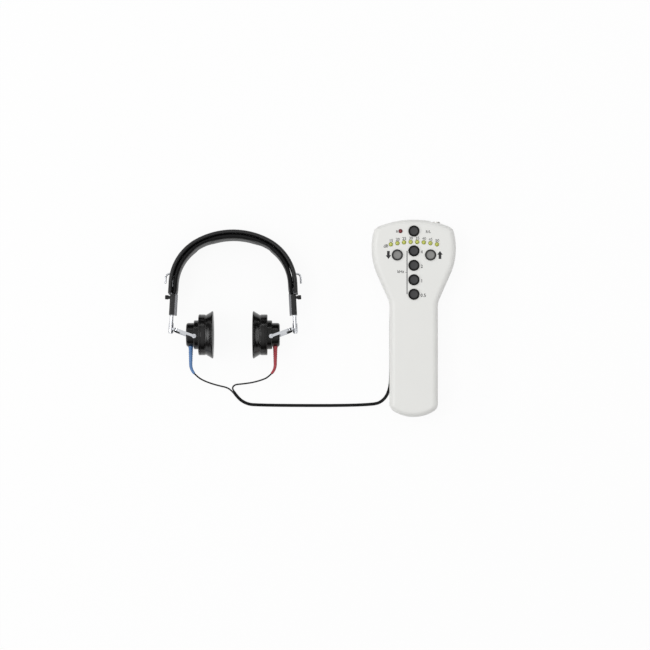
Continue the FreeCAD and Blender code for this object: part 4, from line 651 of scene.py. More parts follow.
def relief_radius(along, long):
    share = along / long
    radius = RELIEF_TOP_R + (RELIEF_TIP_R - RELIEF_TOP_R) * share**1.1
    if along < COLLAR_LONG:
        radius += COLLAR_HIGH
    number = (along - RIB_FIRST) / RIB_PITCH
    if 0 <= number < RIBS:
        radius -= GROOVE_DEEP * (1 - share) * max(0.0, math.cos((number % 1) * math.tau)) ** 0.6
    if long - along < TIP_ROUND:
        radius -= TIP_DROP * (1 - (long - along) / TIP_ROUND) ** 2
    return radius


for ear, side in SIDES.items():
    points, steps = relief_line(side)
    radii = [relief_radius(along, steps[-1]) for along in steps]
    tube = sheath(points, round_ring(1.0, RELIEF_AROUND), radii)
    sleeve = piece("relief_sleeve_" + ear, tube, *RELIEFS[ear], sharp=60)
    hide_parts("cord_relief_" + ear)
    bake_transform(sleeve)
print("strain reliefs:", len(radii), "rings each")

# %% [markdown]
# The twin lead runs straight along the table and under the rounded edge of the handle.  Its stored
# length is a neat coil: three turns side by side, five layers high, wound outwards to in along the table,
# then up the inner column, down the middle one and up the outer one, where it leaves for the plug.

# %% Coil
TWIN_WIDE, TWIN_HIGH = 3.6, 1.8
COIL_CENTRE = Vector((-1.5, 64.0))
COIL_RADII = (21.1, 17.5, 13.9)
COIL_LIFT = 0.5
COIL_START, COIL_EXIT = 196, 84  # the headings, in degrees, at which the lead comes and goes
TURN_POINTS, STEP_POINTS = 14, 3
TWIN_START = [
    LEAD_FORK, PAST_FORK, (-194.4, -98.4, 0.9), (-183.6, -100.9, 0.9), (-48.0, -101.2, 0.9),
    (-33.4, -95.2, 0.9), (-26.4, -80.6, 0.9), (-25.6, -57.0, 0.9), (-25.8, -20.0, 0.9),
    (-25.6, 16.0, 0.9), (-24.2, 48.0, 1.1),
]
TWIN_END = [(11.0, 86.6, 7.0), (20.0, 85.6, 5.2), (28.6, 82.0, 4.2), (31.4, 75.0, 4.0), (31.4, 70.0, 4.0)]
# Each turn of the coil: which column it lies in, and which layer.
COIL_TURNS = [(0, 0), (1, 0), (2, 0)]
COIL_TURNS += [(2, layer) for layer in (1, 2, 3, 4)]
COIL_TURNS += [(1, layer) for layer in (4, 3, 2, 1)]
COIL_TURNS += [(0, layer) for layer in (1, 2, 3, 4)]


def coil_points():
    """Clockwise turns; between two turns the lead steps over to its new column and layer."""
    points = []
    start = math.radians(COIL_START)
    for number, (column, layer) in enumerate(COIL_TURNS):
        after = COIL_TURNS[min(number + 1, len(COIL_TURNS) - 1)]
        for i in range(TURN_POINTS):
            angle = start - math.tau * (number + i / TURN_POINTS)
            step = max(0.0, (i - TURN_POINTS + STEP_POINTS) / STEP_POINTS)
            radius = COIL_RADII[column] * (1 - step) + COIL_RADII[after[0]] * step
            level = layer * (1 - step) + after[1] * step
            spread = 1 / math.cos(math.pi / TURN_POINTS) ** 0.75  # the spline cuts inside its points
            place = COIL_CENTRE + Vector((math.cos(angle), math.sin(angle))) * radius * spread
            points.append((place.x, place.y, COIL_LIFT + TWIN_HIGH / 2 + level * TWIN_HIGH))
    return points


coil = coil_points()
keep = len(coil) - TURN_POINTS + round(TURN_POINTS * (COIL_START - COIL_EXIT) / 360)
twin_line = evenly(spline_points("twin", TWIN_START + coil[:keep] + TWIN_END, 6), 0.0022)
twin_tube = sheath(twin_line, twin_ring(TWIN_WIDE, TWIN_HIGH, 7))
twin_lead = piece("lead_twin", twin_tube, lead_sheath, "lead_black", "unit")
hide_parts("lead_main", "lead_coil", "lead_tail")
print("twin lead", round(length_of(twin_line), 3), "m")

# %% [markdown]
# The plug is a node of its own, and it lies beside the coil.

# %% [markdown]
# A strip of woven hook-and-loop tape holds the coil's turns together.  It is a flat ring bent round the
# bundle: a rounded rectangle in section, spun twenty degrees about the coil's middle.

# %% Coil tie
TIE_IN, TIE_OUT, TIE_LOW, TIE_HIGH, TIE_THICK = 11.75, 23.2, 0.45, 9.6, 0.38
TIE_TURN, TIE_ANGLE = math.radians(20), math.radians(262)
TIE_CORNER_R, CORNER_STEPS = 1.2, 5


def rounded_box(low, high, grow, radius):
    """Corner points of a rounded rectangle, grown outwards on all sides."""
    points = []
    for x, z, start in ((high[0], high[1], 0), (low[0], high[1], 90), (*low, 180), (high[0], low[1], 270)):
        x += -radius if start in (0, 270) else radius
        z += -radius if start in (0, 90) else radius
        for i in range(CORNER_STEPS + 1):
            angle = math.radians(start + 90 * i / CORNER_STEPS)
            points.append((x + (radius + grow) * math.cos(angle), z + (radius + grow) * math.sin(angle)))
    return points


tie = bmesh.new()
loops = []
for grow in (0.0, TIE_THICK):
    ring = rounded_box((TIE_IN, TIE_LOW), (TIE_OUT, TIE_HIGH), grow, TIE_CORNER_R)
    loops.append(edge_loop(tie, [(x * MM, 0, z * MM) for x, z in ring])[1])
side = bmesh.ops.bridge_loops(tie, edges=loops[0] + loops[1])["faces"]
bmesh.ops.spin(tie, geom=side, cent=(0, 0, 0), axis=(0, 0, 1), angle=TIE_TURN, steps=5)
bmesh.ops.rotate(tie, verts=tie.verts, cent=(0, 0, 0), matrix=Matrix.Rotation(TIE_ANGLE, 3, "Z"))
bmesh.ops.translate(tie, verts=tie.verts, vec=(*(COIL_CENTRE * MM), 0))
close_normals(tie)
woven = Finish("woven_tape", srgb(24, 24, 25), 0.8, Sheen_Weight=0.4)
weave = woven.cells(0.0005, "F1", 0.1)
woven.raise_by(weave, 0.0001, 0.8)
woven.vary(0.7, 0.9, weave)
coil_tie = piece("coil_tie", tie, woven, "band_leather", "unit")
print("coil tie:", len(coil_tie.data.polygons), "faces")

# %% [markdown]
# The lamps are turned: a bullet's dome above the face and its flange below.  Each vertex keeps how far out
# it lies, which the lamp finish reads to show the chip in the middle.


# %% Lamp domes
LAMP_PITCH, LAMP_ARC_TOP_Y, LAMP_ARC_R = 7.57, 87.7, 128.0
LEVELS = range(15, 55, 5)
LAMP_SPOTS = []
for i in range(len(LEVELS)):
    x = (i - (len(LEVELS) - 1) / 2) * LAMP_PITCH
    LAMP_SPOTS.append((x, LAMP_ARC_TOP_Y - LAMP_ARC_R + math.sqrt(LAMP_ARC_R**2 - x**2)))
EAR_LAMP_SPOT = (-15.4, 100.1)
LAMP_R, LAMP_RISE = 2.2, 1.5
FLANGE_R, FLANGE_TOP, FLANGE_LOW = 2.7, 33.2, 31.7
FACE_Z = 36.0
DOME_RINGS, DOME_STEPS = 8, 32


def lamp_domes(name, spots, finish, slot, node):
    ball = (LAMP_R**2 + LAMP_RISE**2) / (2 * LAMP_RISE)
    profile = [(0.0, FACE_Z + LAMP_RISE)]
    for i in range(1, DOME_RINGS + 1):
        turn = math.asin(LAMP_R / ball) * i / DOME_RINGS
        profile.append((ball * math.sin(turn), FACE_Z + LAMP_RISE - ball * (1 - math.cos(turn))))
    profile += [(LAMP_R, FLANGE_TOP), (FLANGE_R, FLANGE_TOP), (FLANGE_R, FLANGE_LOW), (0.0, FLANGE_LOW)]
    whole = bmesh.new()
    out = whole.verts.layers.float.new("out")
    for spot in spots:
        mesh = as_mesh("one_lamp", lathe(profile, "Z", DOME_STEPS))
        known = len(whole.verts)
        whole.from_mesh(mesh)
        whole.verts.ensure_lookup_table()
        added = whole.verts[known:]
        for vertex in added:
            vertex[out] = min(1.0, Vector(vertex.co[:2]).length / (LAMP_R * MM))
        bmesh.ops.translate(whole, verts=added, vec=(spot[0] * MM, spot[1] * MM, 0))
        bpy.data.meshes.remove(mesh)
    domes = piece(name, whole, finish, slot, "unit")
    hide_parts(node)


lamp_domes("level_lamp_domes", LAMP_SPOTS, lamp_yellow, "lamp_yellow", "level_lamps")
lamp_domes("ear_lamp_dome", [EAR_LAMP_SPOT], lamp_red, "lamp_red", "ear_lamp")
print("lamps:", len(LAMP_SPOTS) + 1)

# %% [markdown]
# The legends are printed with a pad: a film of ink a few hundredths of a millimetre thick.  Letters come
# from Blender's own font, a little bolder because ink spreads, and are made a mesh before they are placed.

# %% Legends
INK_Z, INK_THICK = FACE_Z + 0.01, 0.04
CAPITAL_SHARE, BOLDER = 0.69, 0.02  # a capital's height against the font's size, and what is added around it
ink = Finish("ink", srgb(26, 26, 28), 0.55)
ink.vary(0.48, 0.66, ink.noise(0.0006, 3.0))
pale_ink = Finish("pale_ink", srgb(112, 112, 113), 0.55)
pale_ink.vary(0.48, 0.66, pale_ink.noise(0.0006, 3.0))


def letters(text, spot, high, turn=0.0):
    """A word as a bmesh, centred on a spot of the face."""
    curve = bpy.data.curves.new("word", "FONT")
    curve.body = text
    curve.size = high * MM / CAPITAL_SHARE
    curve.align_x = curve.align_y = "CENTER"
    curve.extrude = INK_THICK / 2 * MM
    if "4" not in text:  # the counter of a 4 closes up
        curve.offset = BOLDER * high * MM
    curve.resolution_u = 4
    helper = placed("word", curve)
    mesh = mesh_of(helper)
    place = Matrix.Translation(Vector((*spot, INK_Z)) * MM)
    mesh.transform(place @ Matrix.Rotation(math.radians(turn), 4, "Z"))
    bm = bmesh.new()
    bm.from_mesh(mesh)
    bpy.data.objects.remove(helper)
    bpy.data.curves.remove(curve)
    bpy.data.meshes.remove(mesh)
    return bm


def joined(parts):
    whole = bmesh.new()
    for bm in parts:
        mesh = as_mesh("part", bm)
        whole.from_mesh(mesh)
        bpy.data.meshes.remove(mesh)
    return whole


def flat_shape(points):
    """A printed patch from its corner points."""
    bm = bmesh.new()
    low = (INK_Z - INK_THICK / 2) * MM
    face = bm.faces.new([bm.verts.new((x * MM, y * MM, low)) for x, y in points])
    risen = only(bmesh.types.BMVert, bmesh.ops.extrude_face_region(bm, geom=[face])["geom"])
    bmesh.ops.translate(bm, verts=risen, vec=(0, 0, INK_THICK * MM))
    bmesh.ops.recalc_face_normals(bm, faces=bm.faces)
    return bm


def bar(left, low, right, top):
    return flat_shape([(left, low), (right, low), (right, top), (left, top)])


def arrow(x, y, way):
    """A broad arrow pointing up (way 1) or down (way -1)."""
    half, neck, long = 3.1, 1.55, 9.2
    points = [(-neck, -long / 2), (neck, -long / 2), (neck, 0.4), (half, 0.4), (half * 0.5, long * 0.27)]
    points += [(0, long / 2), (-half * 0.5, long * 0.27), (-half, 0.4), (-neck, 0.4)]
    shape = [(x + dx, y + way * dy) for dx, dy in points]
    return flat_shape(shape if way > 0 else shape[::-1])


# Each word's text, its middle, its height and sometimes its turn.
WORDS = [(str(level), (x + 0.3, y + 4.2), 3.2) for (x, y), level in zip(LAMP_SPOTS, LEVELS)]
WORDS += [("dB", (-32.3, 82.8), 3.5, 8), ("kHz", (-15.2, 53.5), 3.3)]
for text, key, across in (("4", "4khz", 9.0), ("2", "2khz", 9.0), ("1", "1khz", 9.0), ("0.5", "500hz", 10.7)):
    WORDS.append((text, (across, KEYS["key_" + key][1] - 1.4), 3.6))
WORDS += [("R", (-19.4, 99.4), 3.0), ("R/L", (16.5, 99.3), 3.0)]
words = [letters(*word) for word in WORDS] + [arrow(-29.3, 72.7, -1), arrow(29.9, 72.7, 1)]
piece("legends", joined(words), ink, "unit_shell", "unit")
RULE_X, RULE_HALF, RULE_LOW, RULE_TOP = -7.9, 0.6, 27.7, 77.4
rule = bar(RULE_X - RULE_HALF, RULE_LOW, RULE_X + RULE_HALF, RULE_TOP)
tick = bar(RULE_X - 1.8, 52.4, RULE_X - 0.4, 53.0)
piece("legend_rule", joined([rule, tick]), pale_ink, "unit_shell", "unit")
print("legends:", len(words), "words and arrows")

# %% [markdown]
# Pressed and moulded parts have no truly sharp edge, and it is the small round along an edge that catches
# the light.  A merged copy of each sharp node gets its flat faces joined and its edges bevelled, and stands
# for the node.

# %% Rounded edges
FLAT_ANGLE, SHARP_ANGLE = math.radians(1.5), math.radians(34)


def eased(node, name, finish, slot, body, width, segments=2, where=None):
    """Makes a copy of a node with a small round on its sharp edges, or on those that where picks."""
    bm = bmesh.new()
    bm.from_mesh(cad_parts[node].data)
    close_normals(bm)
    bmesh.ops.dissolve_limit(bm, angle_limit=FLAT_ANGLE, verts=bm.verts, edges=bm.edges)
    sharp = [e for e in bm.edges if len(e.link_faces) == 2 and e.calc_face_angle() > SHARP_ANGLE]
    if where:
        sharp = [edge for edge in sharp if edge.is_convex and where(edge)]
    shape = {"affect": "EDGES", "segments": segments, "profile": 0.5, "material": -1}
    bmesh.ops.bevel(bm, geom=sharp, offset=width * MM, clamp_overlap=where is None, **shape)
    copy = piece(name, bm, finish, slot, body, sharp=50)
    copy.modifiers.new("flat_faces", "WEIGHTED_NORMAL").keep_sharp = True
    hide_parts(node)
    print(name, "has", len(sharp), "edges eased")


SPLIT_Z = 20.0
WALL_X, WALL_Y = 20, 80  # the outline's walls lie further out than this


def on_level(edge, level):
    return all(abs(vert.co.z - level * MM) < 1e-6 for vert in edge.verts)


def on_outer_wall(edge):
    """Whether a wall that faces away from the unit's middle meets the edge."""
    middle = (edge.verts[0].co + edge.verts[1].co) / 2
    for face in edge.link_faces:
        way = face.normal
        if abs(way.z) > 0.7:
            continue
        if abs(way.x) > 0.4:
            return way.x * middle.x > 0 and abs(middle.x) > WALL_X * MM
        return way.y * middle.y > 0 and abs(middle.y) > WALL_Y * MM
    return False


def rim_or_opening(edge):
    """The seam between the shells, and the holes of the keys and lamps in the face."""
    return on_level(edge, FACE_Z) or on_level(edge, SPLIT_Z) and on_outer_wall(edge)


eased("front_shell", "face_shell", unit_white, "unit_shell", "unit", 0.3, where=rim_or_opening)
eased("back_shell", "under_shell", unit_white, "unit_shell", "unit", 0.3, where=rim_or_opening)
eased("battery_door", "door_shell", door_white, "unit_shell", "door", 0.3, where=rim_or_opening)
for ear in SIDES:
    eased("yoke_" + ear, "yoke_strip_" + ear, chrome, "chrome_rod", "fork_" + ear, 0.7, 4)
    eased("pivot_screws_" + ear, "pivot_heads_" + ear, chrome, "steel_screw", "cup_" + ear, 0.3)
    eased("rod_clamp_" + ear, "clamp_shell_" + ear, clamp_black, "clamp_black", "unit", 0.35)

# %% [markdown]
# The ear cushions are turned rubber.  The profile goes from the sound hole over the dished face to the
# sharp rim, down the flared lip to the neck, and along the body to its rolled back edge.

# %% Ear cushions
CUSHION_PROFILE = [
    (9.0, 30.6), (9.0, 27.8), (9.7, 27.2), (12.5, 25.7), (16.5, 24.2), (20.5, 23.1), (23.6, 22.62),
    (25.6, 22.5), (26.9, 22.75), (27.45, 23.4), (27.3, 24.2), (26.6, 25.1), (25.4, 26.8), (24.3, 28.8),
    (23.3, 30.4), (22.85, 31.1), (22.95, 31.4), (23.3, 31.9), (23.5, 32.4), (23.5, 34.4), (23.5, 36.6),
    (23.44, 36.88), (23.25, 37.0), (20.9, 37.0), (20.9, 33.1), (17.3, 33.1), (17.3, 30.6), (9.0, 30.6),
]


def lay_down(bm, side):
    """From the headset's upright frame to where it lies; side -1 mirrors it to the left ear."""
    if side < 0:
        bmesh.ops.transform(bm, matrix=MIRROR, verts=bm.verts)
        bmesh.ops.reverse_faces(bm, faces=bm.faces)
    bmesh.ops.transform(bm, matrix=HEADSET_PLACE, verts=bm.verts)
    return bm


for ear, side in SIDES.items():
    turned = lay_down(lathe(CUSHION_PROFILE, "X", 112), side)
    cushion = piece("ear_cushion_" + ear, turned, cushion_rubber, "cushion_rubber", "cup_" + ear, 50)
    smooth = cushion.modifiers.new("smooth", "SUBSURF")
    smooth.levels = smooth.render_levels = 1
    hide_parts("cushion_" + ear)
print("ear cushions:", len(cushion.data.polygons), "faces each before smoothing")

# %% [markdown]
# The band is two strips bent to the head: a stiff cover outside and a padded one inside, each wrapped in
# leatherette with a stitched seam along its edges.  A section of each is carried round the band's course:
# a straight end, a tight bend, the wide crown, and the same again in reverse.

# %% The band's course
CROWN_R, CROWN_HALF = 89.0, math.radians(28)
SIDE_R, LEAN, STRAIGHT = 60.8, math.radians(3), 12.2
CROWN_CENTRE = Vector((0.0, 31.6))
SIDE_CENTRE = CROWN_CENTRE + Vector((math.sin(CROWN_HALF), math.cos(CROWN_HALF))) * (CROWN_R - SIDE_R)
SIDE_TURN = math.pi / 2 - CROWN_HALF - LEAN
OUT = Vector((math.cos(LEAN), math.sin(LEAN)))
UP = Vector((-math.sin(LEAN), math.cos(LEAN)))
BAND_END = SIDE_CENTRE + OUT * SIDE_R - UP * STRAIGHT
COURSE = [STRAIGHT, SIDE_R * SIDE_TURN, CROWN_R * 2 * CROWN_HALF, SIDE_R * SIDE_TURN, STRAIGHT]


def band_place(along, depth, z):
    """A frame on the band: its place, with X out of the band, Y along it and Z across its width."""
    left = along > sum(COURSE) / 2
    if left:
        along = sum(COURSE) - along
    if along < STRAIGHT:
        turn, centre, radius = LEAN, BAND_END + UP * along - OUT * SIDE_R, SIDE_R
    elif along < STRAIGHT + COURSE[1]:
        turn, centre, radius = LEAN + (along - STRAIGHT) / SIDE_R, SIDE_CENTRE, SIDE_R
    else:
        turn = math.pi / 2 - CROWN_HALF + (along - STRAIGHT - COURSE[1]) / CROWN_R
        centre, radius = CROWN_CENTRE, CROWN_R
    out = Vector((math.cos(turn), math.sin(turn)))
    place = centre + out * (radius - depth)
    if left:
        place.x, turn = -place.x, math.pi - turn
    return Matrix.Translation(Vector((place.x, place.y, z)) * MM) @ Matrix.Rotation(turn, 4, "Z")


def both_sides(half):
    """A whole section from its half with z above 0, from the outside to the inside."""
    return half + [(d, -z) for d, z in reversed(half)]


def swept_band(section):
    """A section of (depth, z) points carried along the course, closed at its ends."""
    bm = bmesh.new()
    edges = edge_loop(bm, [band_place(0, d, z).translation for d, z in section])[1]
    bmesh.ops.contextual_create(bm, geom=edges)

    def straight(edges, way, steps):
        for _ in range(steps):
            made = bmesh.ops.extrude_edge_only(bm, edges=edges)["geom"]
            moved = only(bmesh.types.BMVert, made)
            bmesh.ops.translate(bm, verts=moved, vec=(*(way * (STRAIGHT / steps * MM)), 0))
            edges = [edge for edge in only(bmesh.types.BMEdge, made) if set(edge.verts) <= set(moved)]
        return edges

    def bend(edges, centre, angle, steps):
        pivot = (*(centre * MM), 0)
        made = bmesh.ops.spin(bm, geom=edges, cent=pivot, axis=(0, 0, 1), angle=angle, steps=steps)
        return only(bmesh.types.BMEdge, made["geom_last"])

    edges = straight(edges, UP, 6)
    edges = bend(edges, SIDE_CENTRE, SIDE_TURN, 30)
    edges = bend(edges, CROWN_CENTRE, 2 * CROWN_HALF, 42)
    edges = bend(edges, Vector((-SIDE_CENTRE.x, SIDE_CENTRE.y)), SIDE_TURN, 30)
    edges = straight(edges, Vector((UP.x, -UP.y)), 6)
    bmesh.ops.contextual_create(bm, geom=edges)
    close_normals(bm)
    return bm


def depth_of(point):
    """How far a point of the headset's frame, in millimetres, lies below the band's outer face."""
    flat = Vector((abs(point.x), point.y))
    away = flat - SIDE_CENTRE
    turn = math.atan2(away.y, away.x)
    if turn > math.pi / 2 - CROWN_HALF:
        return CROWN_R - (flat - CROWN_CENTRE).length
    if turn > LEAN:
        return SIDE_R - away.length
    return SIDE_R - away.dot(OUT)


print("band course", round(sum(COURSE), 1), "mm")

# %% [markdown]
# The cover is folded round a stiff core, so its sides bulge a little and its seam sits in a shallow groove.
# The hairpins of the rods move in a slot at each end, cut with a Boolean that is applied at once.

# %% Band cover
SLOT_DEPTH, SLOT_ALONG, SLOT_WIDE = (-12, 6), (-2, 34.1), 5.2
COVER_HALF = [
    (0.0, 4.0), (0.0, 9.0), (0.12, 12.7), (0.42, 13.2), (0.14, 13.7), (0.3, 14.6), (0.7, 15.6), (1.3, 16.4),
    (2.0, 16.85), (2.7, 17.0), (3.4, 16.85), (4.1, 16.3), (4.6, 15.4), (4.8, 14.2), (4.8, 11.0), (2.8, 11.0),
    (2.8, 4.0),
]


def cutter(across, along, wide):
    """A block in the band end's frame, for both ends: across the band, up along it and through its width."""
    bm = bmesh.new()
    for side in (1, -1):
        made = bmesh.ops.create_cube(bm, size=MM)["verts"]
        scale = Matrix.Diagonal((across[1] - across[0], along[1] - along[0], wide, 1))
        middle = Matrix.Translation(Vector((sum(across) / 2, sum(along) / 2, 0)) * MM)
        end = Matrix.Translation(Vector((*BAND_END, 0)) * MM) @ Matrix.Rotation(LEAN, 4, "Z")
        place = (MIRROR if side < 0 else Matrix.Identity(4)) @ end @ middle @ scale
        bmesh.ops.transform(bm, matrix=HEADSET_PLACE @ place, verts=made)
    bmesh.ops.recalc_face_normals(bm, faces=bm.faces)
    return placed("cutter", as_mesh("cutter", bm))


def apply_modifiers(obj):
    mesh = mesh_of(obj)
    obj.modifiers.clear()
    obj.data = mesh


swept = lay_down(swept_band(both_sides(COVER_HALF)), 1)
cover = piece("band_cover", swept, band_leather, "band_leather")
slots = cutter(SLOT_DEPTH, SLOT_ALONG, SLOT_WIDE)
cut = cover.modifiers.new("slots", "BOOLEAN")
cut.operation = "DIFFERENCE"
cut.solver = "EXACT"
cut.object = slots
apply_modifiers(cover)
smooth_but_edges(cover.data, 40)
bpy.data.objects.remove(slots)
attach(cover, "unit")
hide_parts("headband_cover")
print("band cover:", len(cover.data.polygons), "faces")

# %% [markdown]
# A seam holds the leatherette along both edges of the cover.  Each stitch is a short thread that dips into
# the groove at both ends, so it is a stretched bead, laid along the course every few millimetres.

# %% Stitches
STITCH_PITCH, STITCH_LONG, STITCH_R, SEAM_Z, SEAM_DEPTH = 3.4, 2.5, 0.24, 13.2, 0.3
SEAM_END, BEAD_AROUND, BEAD_RINGS = 4, 6, 5
lie_along = Matrix.Rotation(math.pi / 2, 4, "X") @ Matrix.Diagonal((1, 1, STITCH_LONG / 2 / STITCH_R, 1))
bead_shape = {"u_segments": BEAD_AROUND, "v_segments": BEAD_RINGS, "radius": STITCH_R * MM}
seam = bmesh.new()
stitches = int(sum(COURSE) / STITCH_PITCH)
for i in range(stitches):
    along = (i + 0.5) * sum(COURSE) / stitches
    if not SEAM_END < along < sum(COURSE) - SEAM_END:
        continue
    for z in (SEAM_Z, -SEAM_Z):
        bead = bmesh.ops.create_uvsphere(seam, **bead_shape)["verts"]
        bmesh.ops.transform(seam, matrix=band_place(along, SEAM_DEPTH, z) @ lie_along, verts=bead)
stitching = piece("band_stitches", lay_down(seam, 1), thread, "band_leather", "unit", sharp=80)
print("stitches:", len(stitching.data.polygons) // (BEAD_AROUND * BEAD_RINGS))

# %% [markdown]
# The pad is foam in a leatherette sleeve.  Cloth with a little pressure swells its free faces, while the
# vertices of the channel that the spring lies in are pinned.

# %% Band pad
PAD_HALF = [
    (9.55, 4.0), (9.55, 9.0), (9.55, 11.1), (7.6, 11.2), (5.6, 11.3), (5.45, 13.0), (5.55, 14.6), (5.9, 15.6),
    (6.6, 16.35), (7.3, 16.7), (8.0, 16.7), (8.55, 16.5), (8.75, 16.05), (9.0, 16.15), (9.5, 15.6),
    (9.85, 14.9), (10.1, 14.0), (10.3, 12.0), (10.4, 9.0), (10.45, 6.0), (10.5, 3.0),
]
PAD_SWELL, PAD_PRESSURE, SWELL_FRAMES = 0.45, 3.0, 16
CHANNEL_HALF, CHANNEL_DEPTH = 12.0, 9.8


def swell(obj, held, limit, pressure):
    """Swells the object with a short cloth simulation, and moves no vertex further than the limit."""
    rest = [vertex.co.copy() for vertex in obj.data.vertices]
    pins = obj.vertex_groups.new(name="pins")
    pins.add(held, 1.0, "REPLACE")
    cloth = obj.modifiers.new("cloth", "CLOTH")
    cloth.settings.use_pressure = True
    cloth.settings.uniform_pressure_force = pressure
    cloth.settings.vertex_group_mass = "pins"
    cloth.settings.quality = 6
    cloth.settings.effector_weights.gravity = 0
    cloth.collision_settings.use_collision = False
    cloth.point_cache.frame_start, cloth.point_cache.frame_end = 1, SWELL_FRAMES
    for frame_number in range(1, SWELL_FRAMES + 1):
        bpy.context.scene.frame_set(frame_number)
    apply_modifiers(obj)
    bpy.context.scene.frame_set(1)
    for vertex, start in zip(obj.data.vertices, rest):
        move = vertex.co - start
        if move.length > limit:
            vertex.co = start + move.normalized() * limit
    obj.vertex_groups.clear()


swept = lay_down(swept_band(both_sides(PAD_HALF)), 1)
pad = piece("band_pad", swept, pad_leather, "band_leather", sharp=60)
back = HEADSET_PLACE.inverted()
held = []
for vertex in pad.data.vertices:
    local = back @ vertex.co
    if abs(local.z) < CHANNEL_HALF * MM and depth_of(local / MM) < CHANNEL_DEPTH:
        held.append(vertex.index)
swell(pad, held, PAD_SWELL * MM, PAD_PRESSURE)
smooth_but_edges(pad.data, 60)
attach(pad, "unit")
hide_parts("headband_pad")
print("band pad:", len(pad.data.polygons), "faces,", len(held), "held")

# %% [markdown]
# The nodes keep their meshes and get a finish each.  Their triangles are loose, so a modifier welds them
# and shades every soft edge smooth, which leaves only the real edges crisp.

# %% Finishes of the nodes
NODES_OF_FINISHES = [
    (unit_white, "front_shell back_shell"),
    (door_white, "battery_door"),
    (board_green, "circuit_board"),
    (chip_black, "board_chips key_switches"),
    (lamp_yellow, "level_lamps"),
    (lamp_red, "ear_lamp"),
    (tinned, "lamp_legs"),
    (black_mould, "headset_socket battery_snap plug_body"),
    (nickel, "socket_ring plug_pin"),
    (battery_jacket, "battery"),
    (wire_red, "battery_leads"),
    (zinc_screw, "case_screws board_screws clamp_screws"),
    (band_leather, "headband_cover"),
    (pad_leather, "headband_pad"),
    (spring_steel, "headband_spring"),
    (lead_sheath, "lead_main lead_coil lead_tail"),
]
NODE_FINISHES = dict(KEY_FINISHES)
for finish, nodes in NODES_OF_FINISHES:
    NODE_FINISHES.update({node: finish for node in nodes.split()})
for ear in SIDES:
    for finish, nodes in (
        (clamp_black, "rod_clamp lock_knob"),
        (chrome, "adjuster_rod yoke pivot_screws"),
        (cushion_rubber, "cushion"),
        (driver_can, "driver"),
        (cup_black, "earphone_case cup_cap"),
        (RELIEFS[ear][0], "cord_relief"),
        (lead_sheath, "lead"),
    ):
        NODE_FINISHES.update({f"{node}_{ear}": finish for node in nodes.split()})


def smoothing(angle):
    """A node group that welds a node's loose triangles and shades all but its real edges smooth."""
    group = bpy.data.node_groups.new("smooth_but_edges", "GeometryNodeTree")
    for way in ("INPUT", "OUTPUT"):
        group.interface.new_socket("Geometry", in_out=way, socket_type="NodeSocketGeometry")
    start, end = group.nodes.new("NodeGroupInput"), group.nodes.new("NodeGroupOutput")
    weld = group.nodes.new("GeometryNodeMergeByDistance")
    weld.inputs["Distance"].default_value = 1e-6
    faces, edges = [group.nodes.new("GeometryNodeSetShadeSmooth") for _ in range(2)]
    edges.domain = "EDGE"
    edges.inputs["Shade Smooth"].default_value = False
    turn = group.nodes.new("GeometryNodeInputMeshEdgeAngle")
    sharp = group.nodes.new("FunctionNodeCompare")
    sharp.operation = "GREATER_THAN"
    sharp.inputs[1].default_value = math.radians(angle)
    chain = [start, weld, faces, edges, end]
    for node, after in zip(chain, chain[1:]):
        group.links.new(node.outputs[0], after.inputs[0])
    group.links.new(turn.outputs["Unsigned Angle"], sharp.inputs[0])
    group.links.new(sharp.outputs[0], edges.inputs["Selection"])
    return group


SMOOTHING = smoothing(28)


def dress(node, finish):
    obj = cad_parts[node]
    if not obj.material_slots:
        obj.data.materials.append(finish.material)
    for slot in obj.material_slots:
        slot.material = finish.material
    obj.modifiers.new("smooth_but_edges", "NODES").node_group = SMOOTHING


for node, finish in NODE_FINISHES.items():
    dress(node, finish)
print("dressed", len(NODE_FINISHES), "of", len(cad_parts), "nodes")

# %% [markdown]
# The floor is white paper.  To the camera, to mirrors and through clear things it is plain white, and only
# the light that it throws back and the shadows on it come from its matt surface.  It lies a hair lower than
# the pieces, so that none of them meets it.

# %% Floor
FLOOR_HALF, FLOOR_DROP, PLAIN_SHARE = 6.0, 0.0003, 0.92
bm = bmesh.new()
bmesh.ops.create_grid(bm, x_segments=1, y_segments=1, size=FLOOR_HALF)
bmesh.ops.translate(bm, verts=bm.verts, vec=(0, 0, -FLOOR_DROP))
floor = placed("floor", as_mesh("floor", bm))
paper = Finish("paper", (0.86, 0.86, 0.86, 1.0), 0.9)
rays = paper.node("ShaderNodeLightPath").outputs
kinds = ("Camera", "Glossy", "Transmission")
by_camera, by_mirror, through = [Signal(paper, rays[f"Is {kind} Ray"]) for kind in kinds]
plain = (by_camera + by_mirror + through) * PLAIN_SHARE
white = paper.node("ShaderNodeEmission", {}, {"Color": (1, 1, 1, 1), "Strength": 1.0})
mixed = paper.node("ShaderNodeMixShader", {}, {0: plain, 1: paper.shader.outputs[0], 2: white.outputs[0]})
paper.feed(paper.output.inputs["Surface"], mixed.outputs[0])
floor.data.materials.append(paper.material)
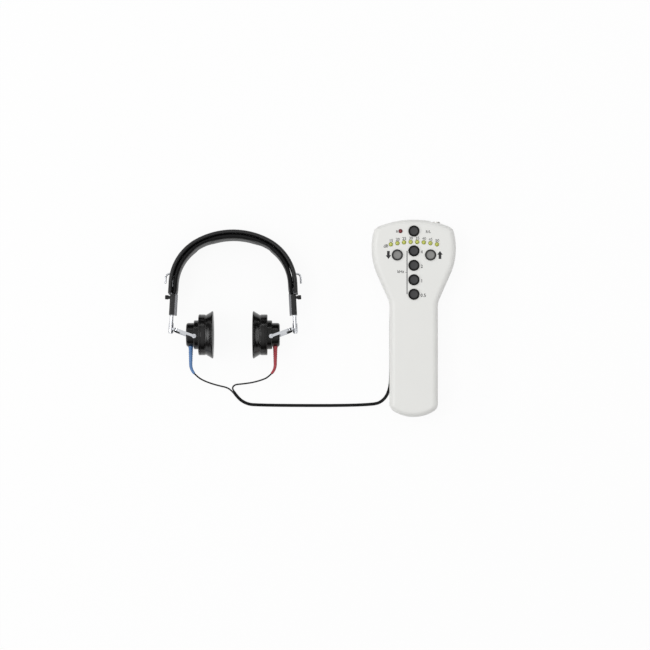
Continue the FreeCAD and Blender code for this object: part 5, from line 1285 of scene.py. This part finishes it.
print("floor", 2 * FLOOR_HALF, "m wide")

# %% [markdown]
# The light is a white tent: bright overhead and dark towards the table's edge, so that black and chrome
# pieces have something dark to mirror.  Three long, thin lamps draw the streaks on the cups and the band,
# and a square one from the left gives the unit its soft shadow side.

# %% Light
WORLD_STRENGTH, LOW_SKY = 0.93, 0.02
SKY_LEAN, SKY_FROM, SKY_TO = (-0.1, 0.0, 1.0), 0.3, 0.86
world = bpy.data.worlds.new("studio")
bpy.context.scene.world = world
world.use_nodes = True
nodes, links = world.node_tree.nodes, world.node_tree.links
backdrop = nodes["Background"]
backdrop.inputs["Strength"].default_value = WORLD_STRENGTH
lean = nodes.new("ShaderNodeVectorMath")
lean.operation = "DOT_PRODUCT"
lean.inputs[1].default_value = SKY_LEAN
ramp = nodes.new("ShaderNodeValToRGB")
for stop, place, level in zip(ramp.color_ramp.elements, (SKY_FROM, SKY_TO), (LOW_SKY, 1)):
    stop.position, stop.color = place, (level, level, level, 1)
links.new(nodes.new("ShaderNodeTexCoord").outputs["Generated"], lean.inputs[0])
links.new(lean.outputs["Value"], ramp.inputs[0])
links.new(ramp.outputs[0], backdrop.inputs["Color"])
LIT_SPOT = (-0.1, 0.0, 0.03)


def softbox(name, place, size, brightness):
    """A lit rectangle; brightness is against the white of the world at strength 1."""
    light = bpy.data.lights.new(name, "AREA")
    light.shape = "RECTANGLE"
    light.size, light.size_y = size
    light.energy = brightness * math.pi * size[0] * size[1]
    lamp = placed(name, light)
    lamp.location = place
    lamp.rotation_euler = (Vector(LIT_SPOT) - Vector(place)).to_track_quat("-Z", "Y").to_euler()


softbox("left_light", (-1.5, 0.0, 0.72), (2.8, 0.13), 7.2)
softbox("right_light", (1.2, 0.0, 0.78), (2.4, 0.13), 4.6)
softbox("crown_light", (-0.15, 1.35, 0.85), (2.4, 0.13), 3.4)
softbox("top_light", (-1.1, 0.1, 2.0), (0.8, 0.8), 4.0)
bpy.context.scene.view_settings.view_transform = "Standard"
print("lamps of the scene:", len(bpy.data.lights))
